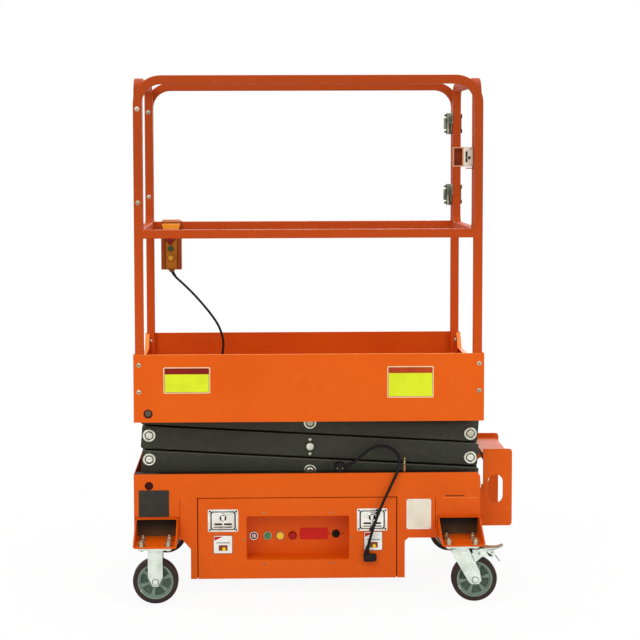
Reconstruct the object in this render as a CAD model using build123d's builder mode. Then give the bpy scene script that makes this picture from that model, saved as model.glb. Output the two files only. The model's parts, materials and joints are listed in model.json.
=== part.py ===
from build123d import *
from math import cos, hypot, radians, sin, sqrt, tan
import os

os.makedirs("parts", exist_ok=True)

# Push-around scissor lift, folded, in millimetres.
# +X runs to the push-handle end, +Y away from the control side, +Z up, and the floor is z = 0.
# Near is the control side (-Y), far is the other side. X places are given from the platform's centre.

# ---------------------------------------------------------------- overall places
arm_length = 1140.0                                    # between a scissor arm's end pins
fixed_pins_shift = 9.0                                 # the folded stack lies this far right of the centre
left_pin_x = fixed_pins_shift - arm_length / 2
chassis_past_pins = (51.0, 24.0)                       # past the left and the right pins
chassis_left_x = left_pin_x - chassis_past_pins[0]
chassis_right_x = left_pin_x + arm_length + chassis_past_pins[1]
handle_reach = 129.0
handle_front_x = chassis_right_x + handle_reach
platform_overhang = 35.0                               # past half the arms' length, at each end
centre_x = -(chassis_left_x + handle_front_x) / 2      # platform's centre in the part's own frame
seat_gap = 0.3                                         # pieces that rest on each other
pin_gap = 0.08                                         # radial play of a pin in its bore
round_off = 0.01                                       # reach of a cut past the face it opens

# ---------------------------------------------------------------- chassis
chassis_half_width = 265.0
chassis_wall = 5.0
skirt_bottom_z = 200.0
track_bottom_z = 347.0
track_top_z = 432.0
track_flange = 45.0
track_end_cut = (9.5, 14.0)                            # along X, along Z
pivot_hole_r = 15.0
pivot_hole_shift = 2.0
pivot_hole_x = left_pin_x + pivot_hole_shift
pivot_hole_z = 390.0
end_wall = 3.0
right_wall_top_z = 335.0
floor_bottom_z = 325.0
apron_inset = (198.0, 265.0)                           # from the chassis's left and right ends
apron_left_x = chassis_left_x + apron_inset[0]
apron_right_x = chassis_right_x - apron_inset[1]
apron_bottom_z = 58.4
apron_chamfer = (31.0, 35.0)                           # along X, along Z
apron_fillet = 12.0
box_wall = 3.0
runner_width = 50.0

# ---------------------------------------------------------------- cross beams
beam_overhang = 130.0                                  # past the chassis, on each side
beam_half_length = chassis_half_width + beam_overhang
beam_width = 150.0
beam_left_inset = 79.5
beam_left_x = chassis_left_x + beam_left_inset         # centres of the two beams, the right one flush
beam_right_x = chassis_right_x - beam_width / 2
beam_web_y = 233.0                                     # closing webs inside the beams
beam_bottom_z = 200.0
beam_height = 78.5
beam_wall = 5.0
beam_bend_r = 9.0
beam_lip = 12.0                                        # height of the side walls at the beam's ends

# ---------------------------------------------------------------- casters
wheel_r = 78.5
wheel_width = 45.0
plate_x = 116.0
plate_y = 100.0
wheel_y = beam_half_length - plate_y / 2               # the caster plates end flush with the beams
tread_shoulder = 4.0
rim_r = 62.5
rim_ring = 6.0
hub_r = 18.0
hub_length = 50.0
web_half = 12.0
pocket_depth = 8.0
pocket_corner_r = 4.0
pocket_count = 6
axle_r = 6.0
fork_sheet = 4.0
fork_half_inside = 27.0
plate_thick = 6.0
fork_strip = 51.0
axle_boss_r = 17.0
trail = 46.0
bearing_r = 38.0
bearing_height = 8.0
king_pin_r = 8.0
king_pin_inset = 3.5                                   # king pin left of its beam's middle
king_pin_x = beam_right_x - king_pin_inset
crown_thick = 6.0
bolt_head_r = 9.5
bolt_head = 6.0
pedal_width = 16.0                                     # of the release tab
fork_shoulder = (34.0, 24.0, 14.0)                     # crown left and right of the king pin, and its depth
fork_waist = (35.0, 165.0)
fork_bow = (22.0, 12.0, 16.0)                          # half widths of a leg at the axle, at its foot and above it
brake_cheek = (                                        # X from the king pin, Z below the crown
    (30, 2), (76, 3), (108, 2), (116, 21), (112, 30), (101, 30), (87, 23), (68, 28), (53, 41), (40, 48), (28, 26),
)
brake_pedal = ((60, 4), (126, 4), (146, -4), (146, -9), (125, -1), (60, -1))
brake_release = ((108, 3), (116, 26), (133, 50), (136, 48), (119, 25), (111, 3))

# ---------------------------------------------------------------- push handle
handle_side_room = 105.0
handle_half_width = chassis_half_width - handle_side_room
handle_sheet = 5.0
handle_bottom_z = 216.0
handle_top_z = 494.0
handle_left_gap = 25.0
handle_left_x = chassis_right_x + handle_left_gap
handle_corner_r = 12.0
handle_top_drop = 16.0
hand_hole_size = (53.0, 102.0)
hand_hole_from_front = 33.0
hand_hole_z = 299.0
hand_hole = (                                          # x0, z0, x1, z1
    handle_front_x - hand_hole_from_front - hand_hole_size[0],
    hand_hole_z,
    handle_front_x - hand_hole_from_front,
    hand_hole_z + hand_hole_size[1],
)

# ---------------------------------------------------------------- scissor
lift_pitch = 86.2                                      # height of one folded stage
lower_pin_z = 385.0
arm_depth = 80.0
arm_low_shift = 12.0                                   # middle of the arm above the lower pin
arm_high_shift = -8.0                                  # and above the upper pin, so that the pairs fold flat
arm_thick = 40.0
arm_end = 27.0
arm_end_cut = 6.0
arm_heel_cut = 24.0                                    # lets an inner arm's foot turn up inside the end wall
arm_gap = 5.0
stack_side_room = 150.0                                # chassis side to the inner arms' inner faces
inner_y = chassis_half_width - stack_side_room
pin_past_arm = 2.0
pin_r = 15.0
collar_r = 22.7
collar_groove_r = 19.0
collar_base = 1.5
collar_height = 3.5
roller_width = 30.0
roller_inset = 43.0                                    # chassis side to a roller's inner face
roller_side = chassis_half_width - roller_inset
cross_tube = 40.0
tube_inset = 110.0
fold_sin = lift_pitch / arm_length
fold_cos = sqrt(1 - fold_sin ** 2)
outer_y = inner_y + arm_thick + arm_gap
outer_face_y = outer_y + arm_thick
roller_r = lower_pin_z - (track_bottom_z + chassis_wall) - seat_gap
upper_pin_z = lower_pin_z + 3 * lift_pitch
upper_track_bottom_z = 614.0
upper_roller_r = upper_pin_z - (upper_track_bottom_z + chassis_wall) - seat_gap

# ---------------------------------------------------------------- hydraulic cylinder
base_eye = (850.0, -30.0)                              # on the first inner pair: along the arm, above it
rod_eye = (350.0, 50.0)                                # on the second inner pair
base_tube = (930.0, -15.0)
rod_tube = (268.0, 0.0)
eye_r = 24.0
eye_half = 18.0
lug_gap = 2.0
lug_thick = 10.0
eye_pin_r = 12.0
barrel_r = 35.0
barrel_start = 46.0
barrel_end = 400.0
gland_r = 29.0
gland_length = 22.0
rod_r = 17.5
rod_inside = 280.0

# ---------------------------------------------------------------- drawer
drawer_inset = (26.0, 30.0)
drawer_left_x = apron_left_x + drawer_inset[0]
drawer_right_x = apron_right_x - drawer_inset[1]
drawer = (drawer_left_x, 58.4, drawer_right_x, 344.0)  # x0, z0, x1, z1 of the front panel
drawer_gap = 3.0
drawer_sheet = 3.0
drawer_return = 15.0
recess_inset = (170.0, 166.0)
recess = (drawer_left_x + recess_inset[0], 125.0, drawer_right_x - recess_inset[1], 280.0)
recess_depth = 90.0
recess_corner = 8.0
tray_floor_z = 62.0
tray_wall = 60.0
tray_back_room = 30.0
tray_back_y = chassis_half_width - tray_back_room
tray_side = 8.0                                        # tray side walls inside the front panel's sides
latch_size = (106.0, 79.0)
latch_inset = (87.5, 85.2)
latch_z_middle = 266.0
latch_places = (
    (drawer_left_x + latch_inset[0], latch_z_middle),
    (drawer_right_x - latch_inset[1], latch_z_middle),
)
latch_thick = 3.0
control_row_z = 190.0
controls = (                                           # X from the recess's left edge, radius, reach
    (25.0, 14.0, 8.0),
    (74.5, 13.0, 10.0),
    (119.0, 13.0, 10.0),
    (163.4, 13.0, 10.0),
)
socket_inset = 42.0
socket = (recess[2] - socket_inset, 195.0, 13.0)       # x, z, r
outlet_inset = 69.8
outlet_size = (45.8, 27.0)
outlet_z = 118.0
outlet = (
    drawer_right_x - outlet_inset - outlet_size[0],
    outlet_z,
    drawer_right_x - outlet_inset,
    outlet_z + outlet_size[1],
)
outlet_reach = 26.0
battery_room = 20.0                                    # from the tray's left end and from its middle
battery_y_room = (22.0, 16.0, 21.0)                    # from the recess, between the two, to the tray's back
battery_height = 215.0
pump_room = (60.0, 30.0)                               # from the tray's middle and from its right end
pump_y_room = (112.0, 115.0)                           # from the recess and from the tray's back
pump_height = 130.0
post_place = (30.0, 22.0)                              # X from the drawer's right end, Y from the track's face
post_x = drawer_right_x + post_place[0]
post_y = post_place[1] - chassis_half_width
post_top_z = 482.0
post_ball_r = 5.0
post_width = 6.0

# ---------------------------------------------------------------- platform
platform_half_length = arm_length / 2 + platform_overhang
platform_past_chassis = 65.0
platform_half_width = chassis_half_width + platform_past_chassis
board_bottom_z = 625.5
board_top_z = 861.0
board_sheet = 3.0
deck_top_z = 711.0
deck_sheet = 5.0
end_board_top_z = 806.0
end_board_step = 31.0
end_board_slope = 35.0
end_board_flange = 16.0
board_hole_inset = 49.4
board_hole = (board_hole_inset - platform_half_length, 655.0, 16.0)     # x, z, r

# ---------------------------------------------------------------- guard rails
rail = 30.0
guard_inset = (6.0, 7.0)
guard_left_x = guard_inset[0] - platform_half_length
guard_right_x = platform_half_length - guard_inset[1]
guard_top_z = 1817.0
guard_corner_r = 95.0
mid_rail_z = 1260.0
loop_top_z = 1810.0
loop_corner_r = 60.0
gate_side_gap = 12.0
hinge_inset = (45.0, 47.0)                             # X from the guard's right side, Y from the platform's
hinge_axis_x = guard_right_x - hinge_inset[0]
hinge_axis_y = platform_half_width - hinge_inset[1]
hinge_low_z = 1391.0                                   # middles of the two hinges
hinge_high_z = 1660.0
hinge_height = 80.0
hinge_knuckle_r = 8.0
hinge_leaf = 4.0
latch_z = 1503.0
latch_height = 67.0
latch_inset_x = (99.0, 62.5)
latch_box_x = guard_right_x - latch_inset_x[0]
latch_plate_x = guard_right_x - latch_inset_x[1]

# ---------------------------------------------------------------- pendant control
holster_inset = 98.0
holster_x = guard_left_x + holster_inset
holster_width = 77.0
holster_depth = 44.0
holster_height = 182.0
holster_sheet = 2.0
pendant_size = (52.0, 34.0, 150.0)
pendant_cap = (64.0, 36.0, 12.0)
gland_tip_z = 1108.0
cable_hole_run = (188.0, 84.0)                         # X from the holster, Y from the platform's side
cable_hole = (holster_x + cable_hole_run[0], platform_half_width - cable_hole_run[1], 4.3)     # x, y, r
cord_r = 4.0
lead_r = 4.25


# ---------------------------------------------------------------- helpers
def front(y):
    """Sketch plane seen from the control side: sketch x is X from the platform's centre, sketch y is Z."""
    return Plane(origin=(centre_x, y, 0), x_dir=(1, 0, 0), z_dir=(0, -1, 0))


def level(z):
    """Horizontal sketch plane: sketch x is X from the platform's centre, sketch y is Y."""
    return Plane(origin=(centre_x, 0, z), x_dir=(1, 0, 0), z_dir=(0, 0, 1))


def section(x):
    """Sketch plane across the machine: sketch x is Y, sketch y is Z, and it extrudes towards +X."""
    return Plane(origin=(centre_x + x, 0, 0), x_dir=(0, 1, 0), z_dir=(1, 0, 0))


def arm_plane(kind, stage, y):
    """Plane of a folded arm pair: origin on its left pin, x along the arm, extruding towards -Y."""
    steps = stage - 1 if kind == "inner" else stage
    rise = fold_sin if kind == "inner" else -fold_sin
    origin = (centre_x + left_pin_x, y, lower_pin_z + steps * lift_pitch)
    return Plane(origin=origin, x_dir=(fold_cos, 0, rise), z_dir=(0, -1, 0))


def rect(x0, y0, x1, y1, mode=Mode.ADD):
    """Rectangle given by two corners in the current sketch."""
    with Locations(((x0 + x1) / 2, (y0 + y1) / 2)):
        Rectangle(abs(x1 - x0), abs(y1 - y0), mode=mode)


def outline(*points):
    """Closed straight-sided face in the current sketch."""
    Polygon(*points, align=None)


def save(piece, label):
    piece.part.label = label
    export_step(piece.part, f"parts/{label}.step")


# ================================================================ chassis
with BuildPart() as chassis_frame:
    # two long walls with the drop box apron, the near one open for the drawer
    for wall_y, drawer_side in ((-chassis_half_width + chassis_wall, True), (chassis_half_width, False)):
        with BuildSketch(front(wall_y)):
            outline(
                (chassis_left_x, skirt_bottom_z),
                (apron_left_x - apron_chamfer[0], skirt_bottom_z),
                (apron_left_x, skirt_bottom_z - apron_chamfer[1]),
                (apron_left_x, apron_bottom_z),
                (apron_right_x, apron_bottom_z),
                (apron_right_x, skirt_bottom_z - apron_fillet),
                (apron_right_x + apron_fillet, skirt_bottom_z),
                (chassis_right_x, skirt_bottom_z),
                (chassis_right_x, track_bottom_z),
                (chassis_left_x, track_bottom_z),
            )
            for beam_x in (beam_left_x, beam_right_x):
                rect(
                    beam_x - beam_width / 2 - seat_gap,
                    beam_bottom_z - 1,
                    beam_x + beam_width / 2 + seat_gap,
                    beam_bottom_z + beam_height + seat_gap,
                    mode=Mode.SUBTRACT,
                )
            if drawer_side:
                rect(
                    drawer[0] - drawer_gap,
                    drawer[1] - 10,
                    drawer[2] + drawer_gap,
                    track_bottom_z + 1,
                    mode=Mode.SUBTRACT,
                )
        extrude(amount=chassis_wall)
    # left end wall, as high as the tracks
    with BuildSketch(section(chassis_left_x)):
        rect(-chassis_half_width + chassis_wall, skirt_bottom_z, chassis_half_width - chassis_wall, track_bottom_z)
        rect(-chassis_half_width, track_bottom_z, chassis_half_width, track_top_z)
    extrude(amount=end_wall)
    # right end wall, below the arms
    with BuildSketch(section(chassis_right_x - chassis_wall)):
        inside = chassis_half_width - chassis_wall
        rect(-inside, beam_bottom_z + beam_height + seat_gap, inside, right_wall_top_z)
    extrude(amount=chassis_wall)
    # floor
    with BuildSketch(level(floor_bottom_z)):
        rect(chassis_left_x, -chassis_half_width + chassis_wall, chassis_right_x, chassis_half_width - chassis_wall)
        rect(
            drawer[0] - drawer_gap,
            -chassis_half_width,
            drawer[2] + drawer_gap,
            -chassis_half_width + drawer_return + drawer_gap,
            mode=Mode.SUBTRACT,
        )
    extrude(amount=chassis_wall)
save(chassis_frame, "chassis_frame")

with BuildPart() as track_channels:
    track_start_x = chassis_left_x + end_wall
    with BuildSketch(section(track_start_x)):
        for side in (-1, 1):
            face = side * chassis_half_width
            rect(face, track_bottom_z, face - side * track_flange, track_top_z)
            rect(
                face - side * chassis_wall,
                track_bottom_z + chassis_wall,
                face - side * (track_flange + 1),
                track_top_z - chassis_wall,
                mode=Mode.SUBTRACT,
            )
    extrude(amount=chassis_right_x - track_start_x)
    # cut top corner at the handle end
    with BuildSketch(front(chassis_half_width + 1)):
        outline(
            (chassis_right_x + 1, track_top_z - track_end_cut[1]),
            (chassis_right_x + 1, track_top_z + 1),
            (chassis_right_x - track_end_cut[0], track_top_z + 1),
            (chassis_right_x - track_end_cut[0], track_top_z),
            (chassis_right_x, track_top_z - track_end_cut[1]),
        )
        with Locations((pivot_hole_x, pivot_hole_z)):
            Circle(pivot_hole_r)
    extrude(amount=2 * chassis_half_width + 2, mode=Mode.SUBTRACT)
    # pivot brackets between the flanges, with the pins of the lowest arms
    lug_half = 2 * pin_r
    for side in (-1, 1):
        near_y = side * (chassis_half_width - track_flange)
        far_y = near_y + side * lug_thick
        with BuildSketch(front(max(near_y, far_y))):
            rect(
                left_pin_x - lug_half,
                track_bottom_z + chassis_wall,
                left_pin_x + lug_half,
                track_top_z - chassis_wall,
            )
        extrude(amount=lug_thick)
        inner_end = side * (inner_y - pin_gap)
        outer_end = far_y + side * lug_thick
        with BuildSketch(front(max(inner_end, outer_end))):
            with Locations((left_pin_x, lower_pin_z)):
                Circle(pin_r)
        extrude(amount=abs(outer_end - inner_end))
save(track_channels, "track_channels")

with BuildPart() as drop_box_walls:
    # the two side walls of the drop box, each folded inwards as the drawer's runner
    wall_back_y = chassis_half_width - chassis_wall
    runner_z = tray_floor_z - seat_gap
    with BuildSketch(front(wall_back_y)):
        for wall_x, inward in ((apron_left_x, 1), (apron_right_x, -1)):
            rect(wall_x, runner_z - box_wall, wall_x + inward * box_wall, floor_bottom_z)
            rect(wall_x, runner_z - box_wall, wall_x + inward * runner_width, runner_z)
    extrude(amount=2 * wall_back_y - 2 * drawer_return)
save(drop_box_walls, "drop_box_walls")

with BuildPart() as cross_beams:
    # rectangular tubes, their ends bevelled back to the chassis faces, each closed by two webs inside
    for beam_x in (beam_left_x, beam_right_x):
        with BuildSketch(front(beam_half_length)):
            with Locations((beam_x, beam_bottom_z + beam_height / 2)):
                RectangleRounded(beam_width, beam_height, beam_bend_r)
                RectangleRounded(
                    beam_width - 2 * beam_wall,
                    beam_height - 2 * beam_wall,
                    beam_bend_r - beam_wall,
                    mode=Mode.SUBTRACT,
                )
        extrude(amount=2 * beam_half_length)
        for web_y in (-beam_web_y + beam_wall, beam_web_y):
            with BuildSketch(front(web_y)):
                with Locations((beam_x, beam_bottom_z + beam_height / 2)):
                    Rectangle(beam_width - beam_wall, beam_height - beam_wall)
            extrude(amount=beam_wall)
    with BuildSketch(section(chassis_left_x)):
        for side in (-1, 1):
            outline(
                (side * chassis_half_width, beam_bottom_z + beam_height + 1),
                (side * chassis_half_width, beam_bottom_z + beam_height),
                (side * beam_half_length, beam_bottom_z + beam_lip),
                (side * (beam_half_length + 1), beam_bottom_z + beam_lip),
                (side * (beam_half_length + 1), beam_bottom_z + beam_height + 1),
            )
    extrude(amount=handle_front_x - chassis_left_x, mode=Mode.SUBTRACT)
save(cross_beams, "cross_beams")

with BuildPart() as push_handle:
    # two side plates with hand holes
    for plate_face in (handle_half_width, -handle_half_width + handle_sheet):
        with BuildSketch(front(plate_face)) as plate_outline:
            outline(
                (chassis_right_x + seat_gap, handle_bottom_z),
                (handle_front_x, handle_bottom_z),
                (handle_front_x, handle_top_z),
                (handle_left_x, handle_top_z),
                (handle_left_x, track_bottom_z),
                (chassis_right_x + seat_gap, track_bottom_z),
            )
            fillet(plate_outline.vertices().group_by(Axis.X)[-1], handle_corner_r)
            hole_width = hand_hole[2] - hand_hole[0]
            hole_height = hand_hole[3] - hand_hole[1]
            with Locations(((hand_hole[0] + hand_hole[2]) / 2, (hand_hole[1] + hand_hole[3]) / 2)):
                RectangleRounded(hole_width, hole_height, hole_width / 2 - 1, mode=Mode.SUBTRACT)
        extrude(amount=handle_sheet)
    # top plate, let in below the side plates' edges and turned down at the left
    top_z = handle_top_z - handle_top_drop
    with BuildSketch(front(handle_half_width - handle_sheet)):
        rect(handle_left_x, top_z - handle_sheet, handle_front_x - handle_corner_r, top_z)
        rect(handle_left_x, top_z - 5 * handle_sheet, handle_left_x + handle_sheet, top_z)
    extrude(amount=2 * (handle_half_width - handle_sheet))
save(push_handle, "push_handle")

with BuildPart() as lead_post:
    # brass post with a round head, standing on the near track
    with BuildSketch(level(track_top_z + seat_gap)):
        with Locations((post_x, post_y)):
            Rectangle(post_width, post_width)
    extrude(amount=post_top_z - post_ball_r - track_top_z - seat_gap)
    with BuildSketch(level(post_top_z - post_width)):
        with Locations((post_x, post_y)):
            Circle(post_ball_r)
    extrude(amount=post_width)
save(lead_post, "lead_post")


# ================================================================ casters
def wheel_frame(x, y):
    """Plane through a wheel's centre: sketch x along its axle, sketch y up."""
    return Plane(origin=(centre_x + x, y, wheel_r), x_dir=(0, 1, 0), z_dir=(1, 0, 0))


def make_tyre(label, x, y):
    with BuildPart() as tyre:
        with BuildSketch(wheel_frame(x, y)) as tread:
            rect(-wheel_width / 2, rim_r, wheel_width / 2, wheel_r)
            chamfer(tread.vertices().group_by(Axis.Y)[-1], tread_shoulder)
        revolve(axis=Axis((centre_x + x, y, wheel_r), (0, 1, 0)))
    save(tyre, label)


def make_rim(label, x, y):
    """Hub, dished web with a ring of pockets on both sides, and the ring that the tyre sits on."""
    with BuildPart() as rim:
        with BuildSketch(wheel_frame(x, y)):
            rect(-hub_length / 2, axle_r + pin_gap, hub_length / 2, hub_r)
            rect(-web_half, hub_r, web_half, rim_r - rim_ring)
            rect(-wheel_width / 2 + 2, rim_r - rim_ring, wheel_width / 2 - 2, rim_r - seat_gap)
        revolve(axis=Axis((centre_x + x, y, wheel_r), (0, 1, 0)))
        inner_r = hub_r + 8
        outer_r = rim_r - rim_ring - 4
        half_turn = radians(360 / pocket_count / 2 - 8)
        for side in (-1, 1):
            pocket_floor = y + side * (web_half - pocket_depth)
            face_plane = Plane(
                origin=(centre_x + x, pocket_floor, wheel_r), x_dir=(1, 0, 0), z_dir=(0, side, 0)
            )
            with BuildSketch(face_plane) as pockets:
                with PolarLocations(0, pocket_count):
                    outline(
                        (inner_r * cos(half_turn), -inner_r * sin(half_turn)),
                        (outer_r * cos(half_turn), -outer_r * sin(half_turn)),
                        (outer_r, 0),
                        (outer_r * cos(half_turn), outer_r * sin(half_turn)),
                        (inner_r * cos(half_turn), inner_r * sin(half_turn)),
                    )
                fillet(pockets.vertices(), pocket_corner_r)
            extrude(amount=pocket_depth + 1, mode=Mode.SUBTRACT)
    save(rim, label)


def fork_legs(x, y, top_z, side_profile, crown):
    """Folded fork over a wheel: a U section trimmed to its side profile, given as X, Z points."""
    half_out = fork_half_inside + fork_sheet
    side_plane = Plane(origin=(centre_x + x, y + half_out, 0), x_dir=(1, 0, 0), z_dir=(0, -1, 0))
    with BuildSketch(side_plane) as profile:
        outline(*side_profile)
    extrude(profile.sketch, amount=2 * half_out)
    room_plane = Plane(origin=(centre_x + x, y + fork_half_inside, 0), x_dir=(1, 0, 0), z_dir=(0, -1, 0))
    with BuildSketch(room_plane) as room:
        rect(-120, 0, 120, top_z - crown)
    extrude(room.sketch, amount=2 * fork_half_inside, mode=Mode.SUBTRACT)


def axle(x, y):
    """Axle bolt through both fork legs, with its head and nut."""
    half = fork_half_inside + fork_sheet + bolt_head
    centre = Plane(origin=(centre_x + x, y + half, wheel_r), x_dir=(1, 0, 0), z_dir=(0, -1, 0))
    with BuildSketch(centre) as shank:
        Circle(axle_r)
    extrude(shank.sketch, amount=2 * half)
    for start in (half, -half + bolt_head):
        head_plane = Plane(origin=(centre_x + x, y + start, wheel_r), x_dir=(1, 0, 0), z_dir=(0, -1, 0))
        with BuildSketch(head_plane) as head:
            RegularPolygon(bolt_head_r, 6)
        extrude(head.sketch, amount=bolt_head)


plate_top_z = beam_bottom_z
plate_bottom_z = plate_top_z - plate_thick

with BuildPart() as fixed_forks:
    for side in (-1, 1):
        strip = fork_strip / 2
        boss = axle_boss_r
        fork_legs(
            beam_left_x,
            side * wheel_y,
            plate_bottom_z,
            (
                (-strip, plate_bottom_z),
                (-strip, wheel_r + boss),
                (-strip + boss, wheel_r - boss + 2),
                (strip - boss, wheel_r - boss + 2),
                (strip, wheel_r + boss),
                (strip, plate_bottom_z),
            ),
            crown_thick,
        )
    for side in (-1, 1):
        with BuildSketch(level(plate_bottom_z)):
            with Locations((beam_left_x, side * wheel_y)):
                RectangleRounded(plate_x, plate_y, 8.0)
        extrude(amount=plate_thick - seat_gap)
        axle(beam_left_x, side * wheel_y)
save(fixed_forks, "fixed_forks")

bearing_bottom_z = plate_bottom_z - bearing_height
with BuildPart() as swivel_plates:
    with BuildSketch(level(plate_bottom_z)):
        with Locations((king_pin_x, -wheel_y), (king_pin_x, wheel_y)):
            RectangleRounded(plate_x, plate_y, 8.0)
    extrude(amount=plate_thick - seat_gap)
    with BuildSketch(level(bearing_bottom_z)):
        with Locations((king_pin_x, -wheel_y), (king_pin_x, wheel_y)):
            Circle(bearing_r)
    extrude(amount=bearing_height, taper=8)
    with BuildSketch(level(bearing_bottom_z)):
        with Locations((king_pin_x, -wheel_y), (king_pin_x, wheel_y)):
            Circle(king_pin_r + pin_gap)
    extrude(amount=bearing_height - 2, mode=Mode.SUBTRACT)
save(swivel_plates, "swivel_plates")


def make_swivel_fork(label, y):
    """Slanted fork with its king pin, axle and the brake over the wheel."""
    top = bearing_bottom_z - seat_gap
    boss = axle_boss_r
    left, right, depth = fork_shoulder
    at_axle, at_foot, above_axle = fork_bow
    leg_profile = (
        (-left, top),
        (-left, top - depth),
        (trail - at_axle, wheel_r - 7),
        (trail - at_foot, wheel_r - boss + 2),
        (trail + at_foot, wheel_r - boss + 2),
        (trail + at_axle, wheel_r - 4),
        (trail + above_axle, wheel_r + 2 * above_axle),
        fork_waist,
        (right, top),
    )
    cheek_profile = [(reach, top - drop) for reach, drop in brake_cheek]
    half_out = fork_half_inside + fork_sheet
    with BuildPart() as fork:
        fork_legs(king_pin_x, y, top, leg_profile, crown_thick)
        with BuildSketch(level(top - crown_thick)):
            with Locations((king_pin_x, y)):
                Circle(bearing_r - 2)
        extrude(amount=crown_thick)
        with BuildSketch(level(top)):
            with Locations((king_pin_x, y)):
                Circle(king_pin_r)
        extrude(amount=bearing_height - 3)
        axle(king_pin_x + trail, y)
        # brake: a cheek in line with each leg, the pedal plate over both and the release tab
        for leg_side in (-1, 1):
            cheek_face = y + max(leg_side * fork_half_inside, leg_side * half_out)
            with BuildSketch(Plane(origin=(centre_x + king_pin_x, cheek_face, 0), x_dir=(1, 0, 0), z_dir=(0, -1, 0))):
                outline(*cheek_profile)
            extrude(amount=fork_sheet)
        pedal_face = y + half_out
        with BuildSketch(Plane(origin=(centre_x + king_pin_x, pedal_face, 0), x_dir=(1, 0, 0), z_dir=(0, -1, 0))):
            outline(*[(reach, top - drop) for reach, drop in brake_pedal])
        extrude(amount=2 * half_out)
        tab_face = y + pedal_width / 2
        with BuildSketch(Plane(origin=(centre_x + king_pin_x, tab_face, 0), x_dir=(1, 0, 0), z_dir=(0, -1, 0))):
            outline(*[(reach, top - drop) for reach, drop in brake_release])
        extrude(amount=pedal_width)
    save(fork, label)


for side, name in ((-1, "near"), (1, "far")):
    make_swivel_fork(f"swivel_fork_{name}", side * wheel_y)
    for x, place in ((beam_left_x, "fixed"), (king_pin_x + trail, "swivel")):
        make_tyre(f"tyre_{place}_{name}", x, side * wheel_y)
        make_rim(f"rim_{place}_{name}", x, side * wheel_y)


# ================================================================ scissor stack
def make_arm_pair(kind, stage, tubes, lugs=None, eye_pin=False):
    """Two parallel arms with their bores; an inner pair is joined by cross tubes and may carry eye lugs."""
    inside = inner_y if kind == "inner" else outer_y
    left_shift, right_shift = (
        (arm_low_shift, arm_high_shift) if kind == "inner" else (arm_high_shift, arm_low_shift)
    )
    end_shift = (right_shift - left_shift) * arm_end / arm_length
    left_low = left_shift - end_shift - arm_depth / 2
    right_low = right_shift + end_shift - arm_depth / 2
    left_top = left_low + arm_depth
    foot = [(-arm_end, left_top)]
    if kind == "inner":
        foot = [(-arm_end + arm_heel_cut, left_top), (-arm_end, left_top - arm_heel_cut)]
    with BuildPart() as pair:
        for side in (-1, 1):
            face = max(side * inside, side * (inside + arm_thick))
            with BuildSketch(arm_plane(kind, stage, face)) as blank:
                outline(
                    (-arm_end, left_low),
                    (arm_length + arm_end, right_low),
                    (arm_length + arm_end, right_low + arm_depth),
                    *foot,
                )
                chamfer(blank.vertices(), arm_end_cut)
            extrude(amount=arm_thick)
        for along, above in tubes:
            with BuildSketch(arm_plane(kind, stage, inside)):
                with Locations((along, above)):
                    Rectangle(cross_tube, cross_tube)
            extrude(amount=2 * inside)
        if lugs:
            eye, tube = lugs
            slot = eye_half + lug_gap
            for side in (-1, 1):
                face = max(side * slot, side * (slot + lug_thick))
                with BuildSketch(arm_plane(kind, stage, face)):
                    with BuildLine():
                        CenterArc(eye, eye_r, 0, 360)
                        CenterArc(tube, cross_tube / 2, 0, 360)
                    make_hull()
                extrude(amount=lug_thick)
            if eye_pin:
                with BuildSketch(arm_plane(kind, stage, slot + lug_thick + 4)):
                    with Locations(eye):
                        Circle(eye_pin_r)
                extrude(amount=2 * (slot + lug_thick + 4))
        bore = pin_r + pin_gap
        with BuildSketch(arm_plane(kind, stage, inside + arm_thick + 1)):
            with Locations((0, 0), (arm_length / 2, 0), (arm_length, 0)):
                Circle(bore)
        extrude(amount=2 * (inside + arm_thick + 1), mode=Mode.SUBTRACT)
    save(pair, f"{kind}_arms_{stage}")


end_tubes = ((tube_inset, 0), (arm_length - tube_inset, 0))
make_arm_pair("inner", 1, end_tubes + (base_tube,), lugs=(base_eye, base_tube), eye_pin=True)
make_arm_pair("inner", 2, end_tubes + (rod_tube,), lugs=(rod_eye, rod_tube))
make_arm_pair("inner", 3, end_tubes)
for stage in (1, 2, 3):
    make_arm_pair("outer", stage, ())


def collar(kind, stage, along, side):
    """Turned collar on an outer arm's face: a thin base, a groove and a raised ring round the pin."""
    face = side * (outer_face_y + seat_gap)
    for reach, hole_r in ((collar_base, 0), (collar_height, collar_groove_r)):
        start = max(face, face + side * reach)
        with BuildSketch(arm_plane(kind, stage, start)) as ring:
            with Locations((along, 0)):
                Circle(collar_r)
                if hole_r:
                    Circle(hole_r, mode=Mode.SUBTRACT)
        extrude(ring.sketch, amount=reach)


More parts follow.
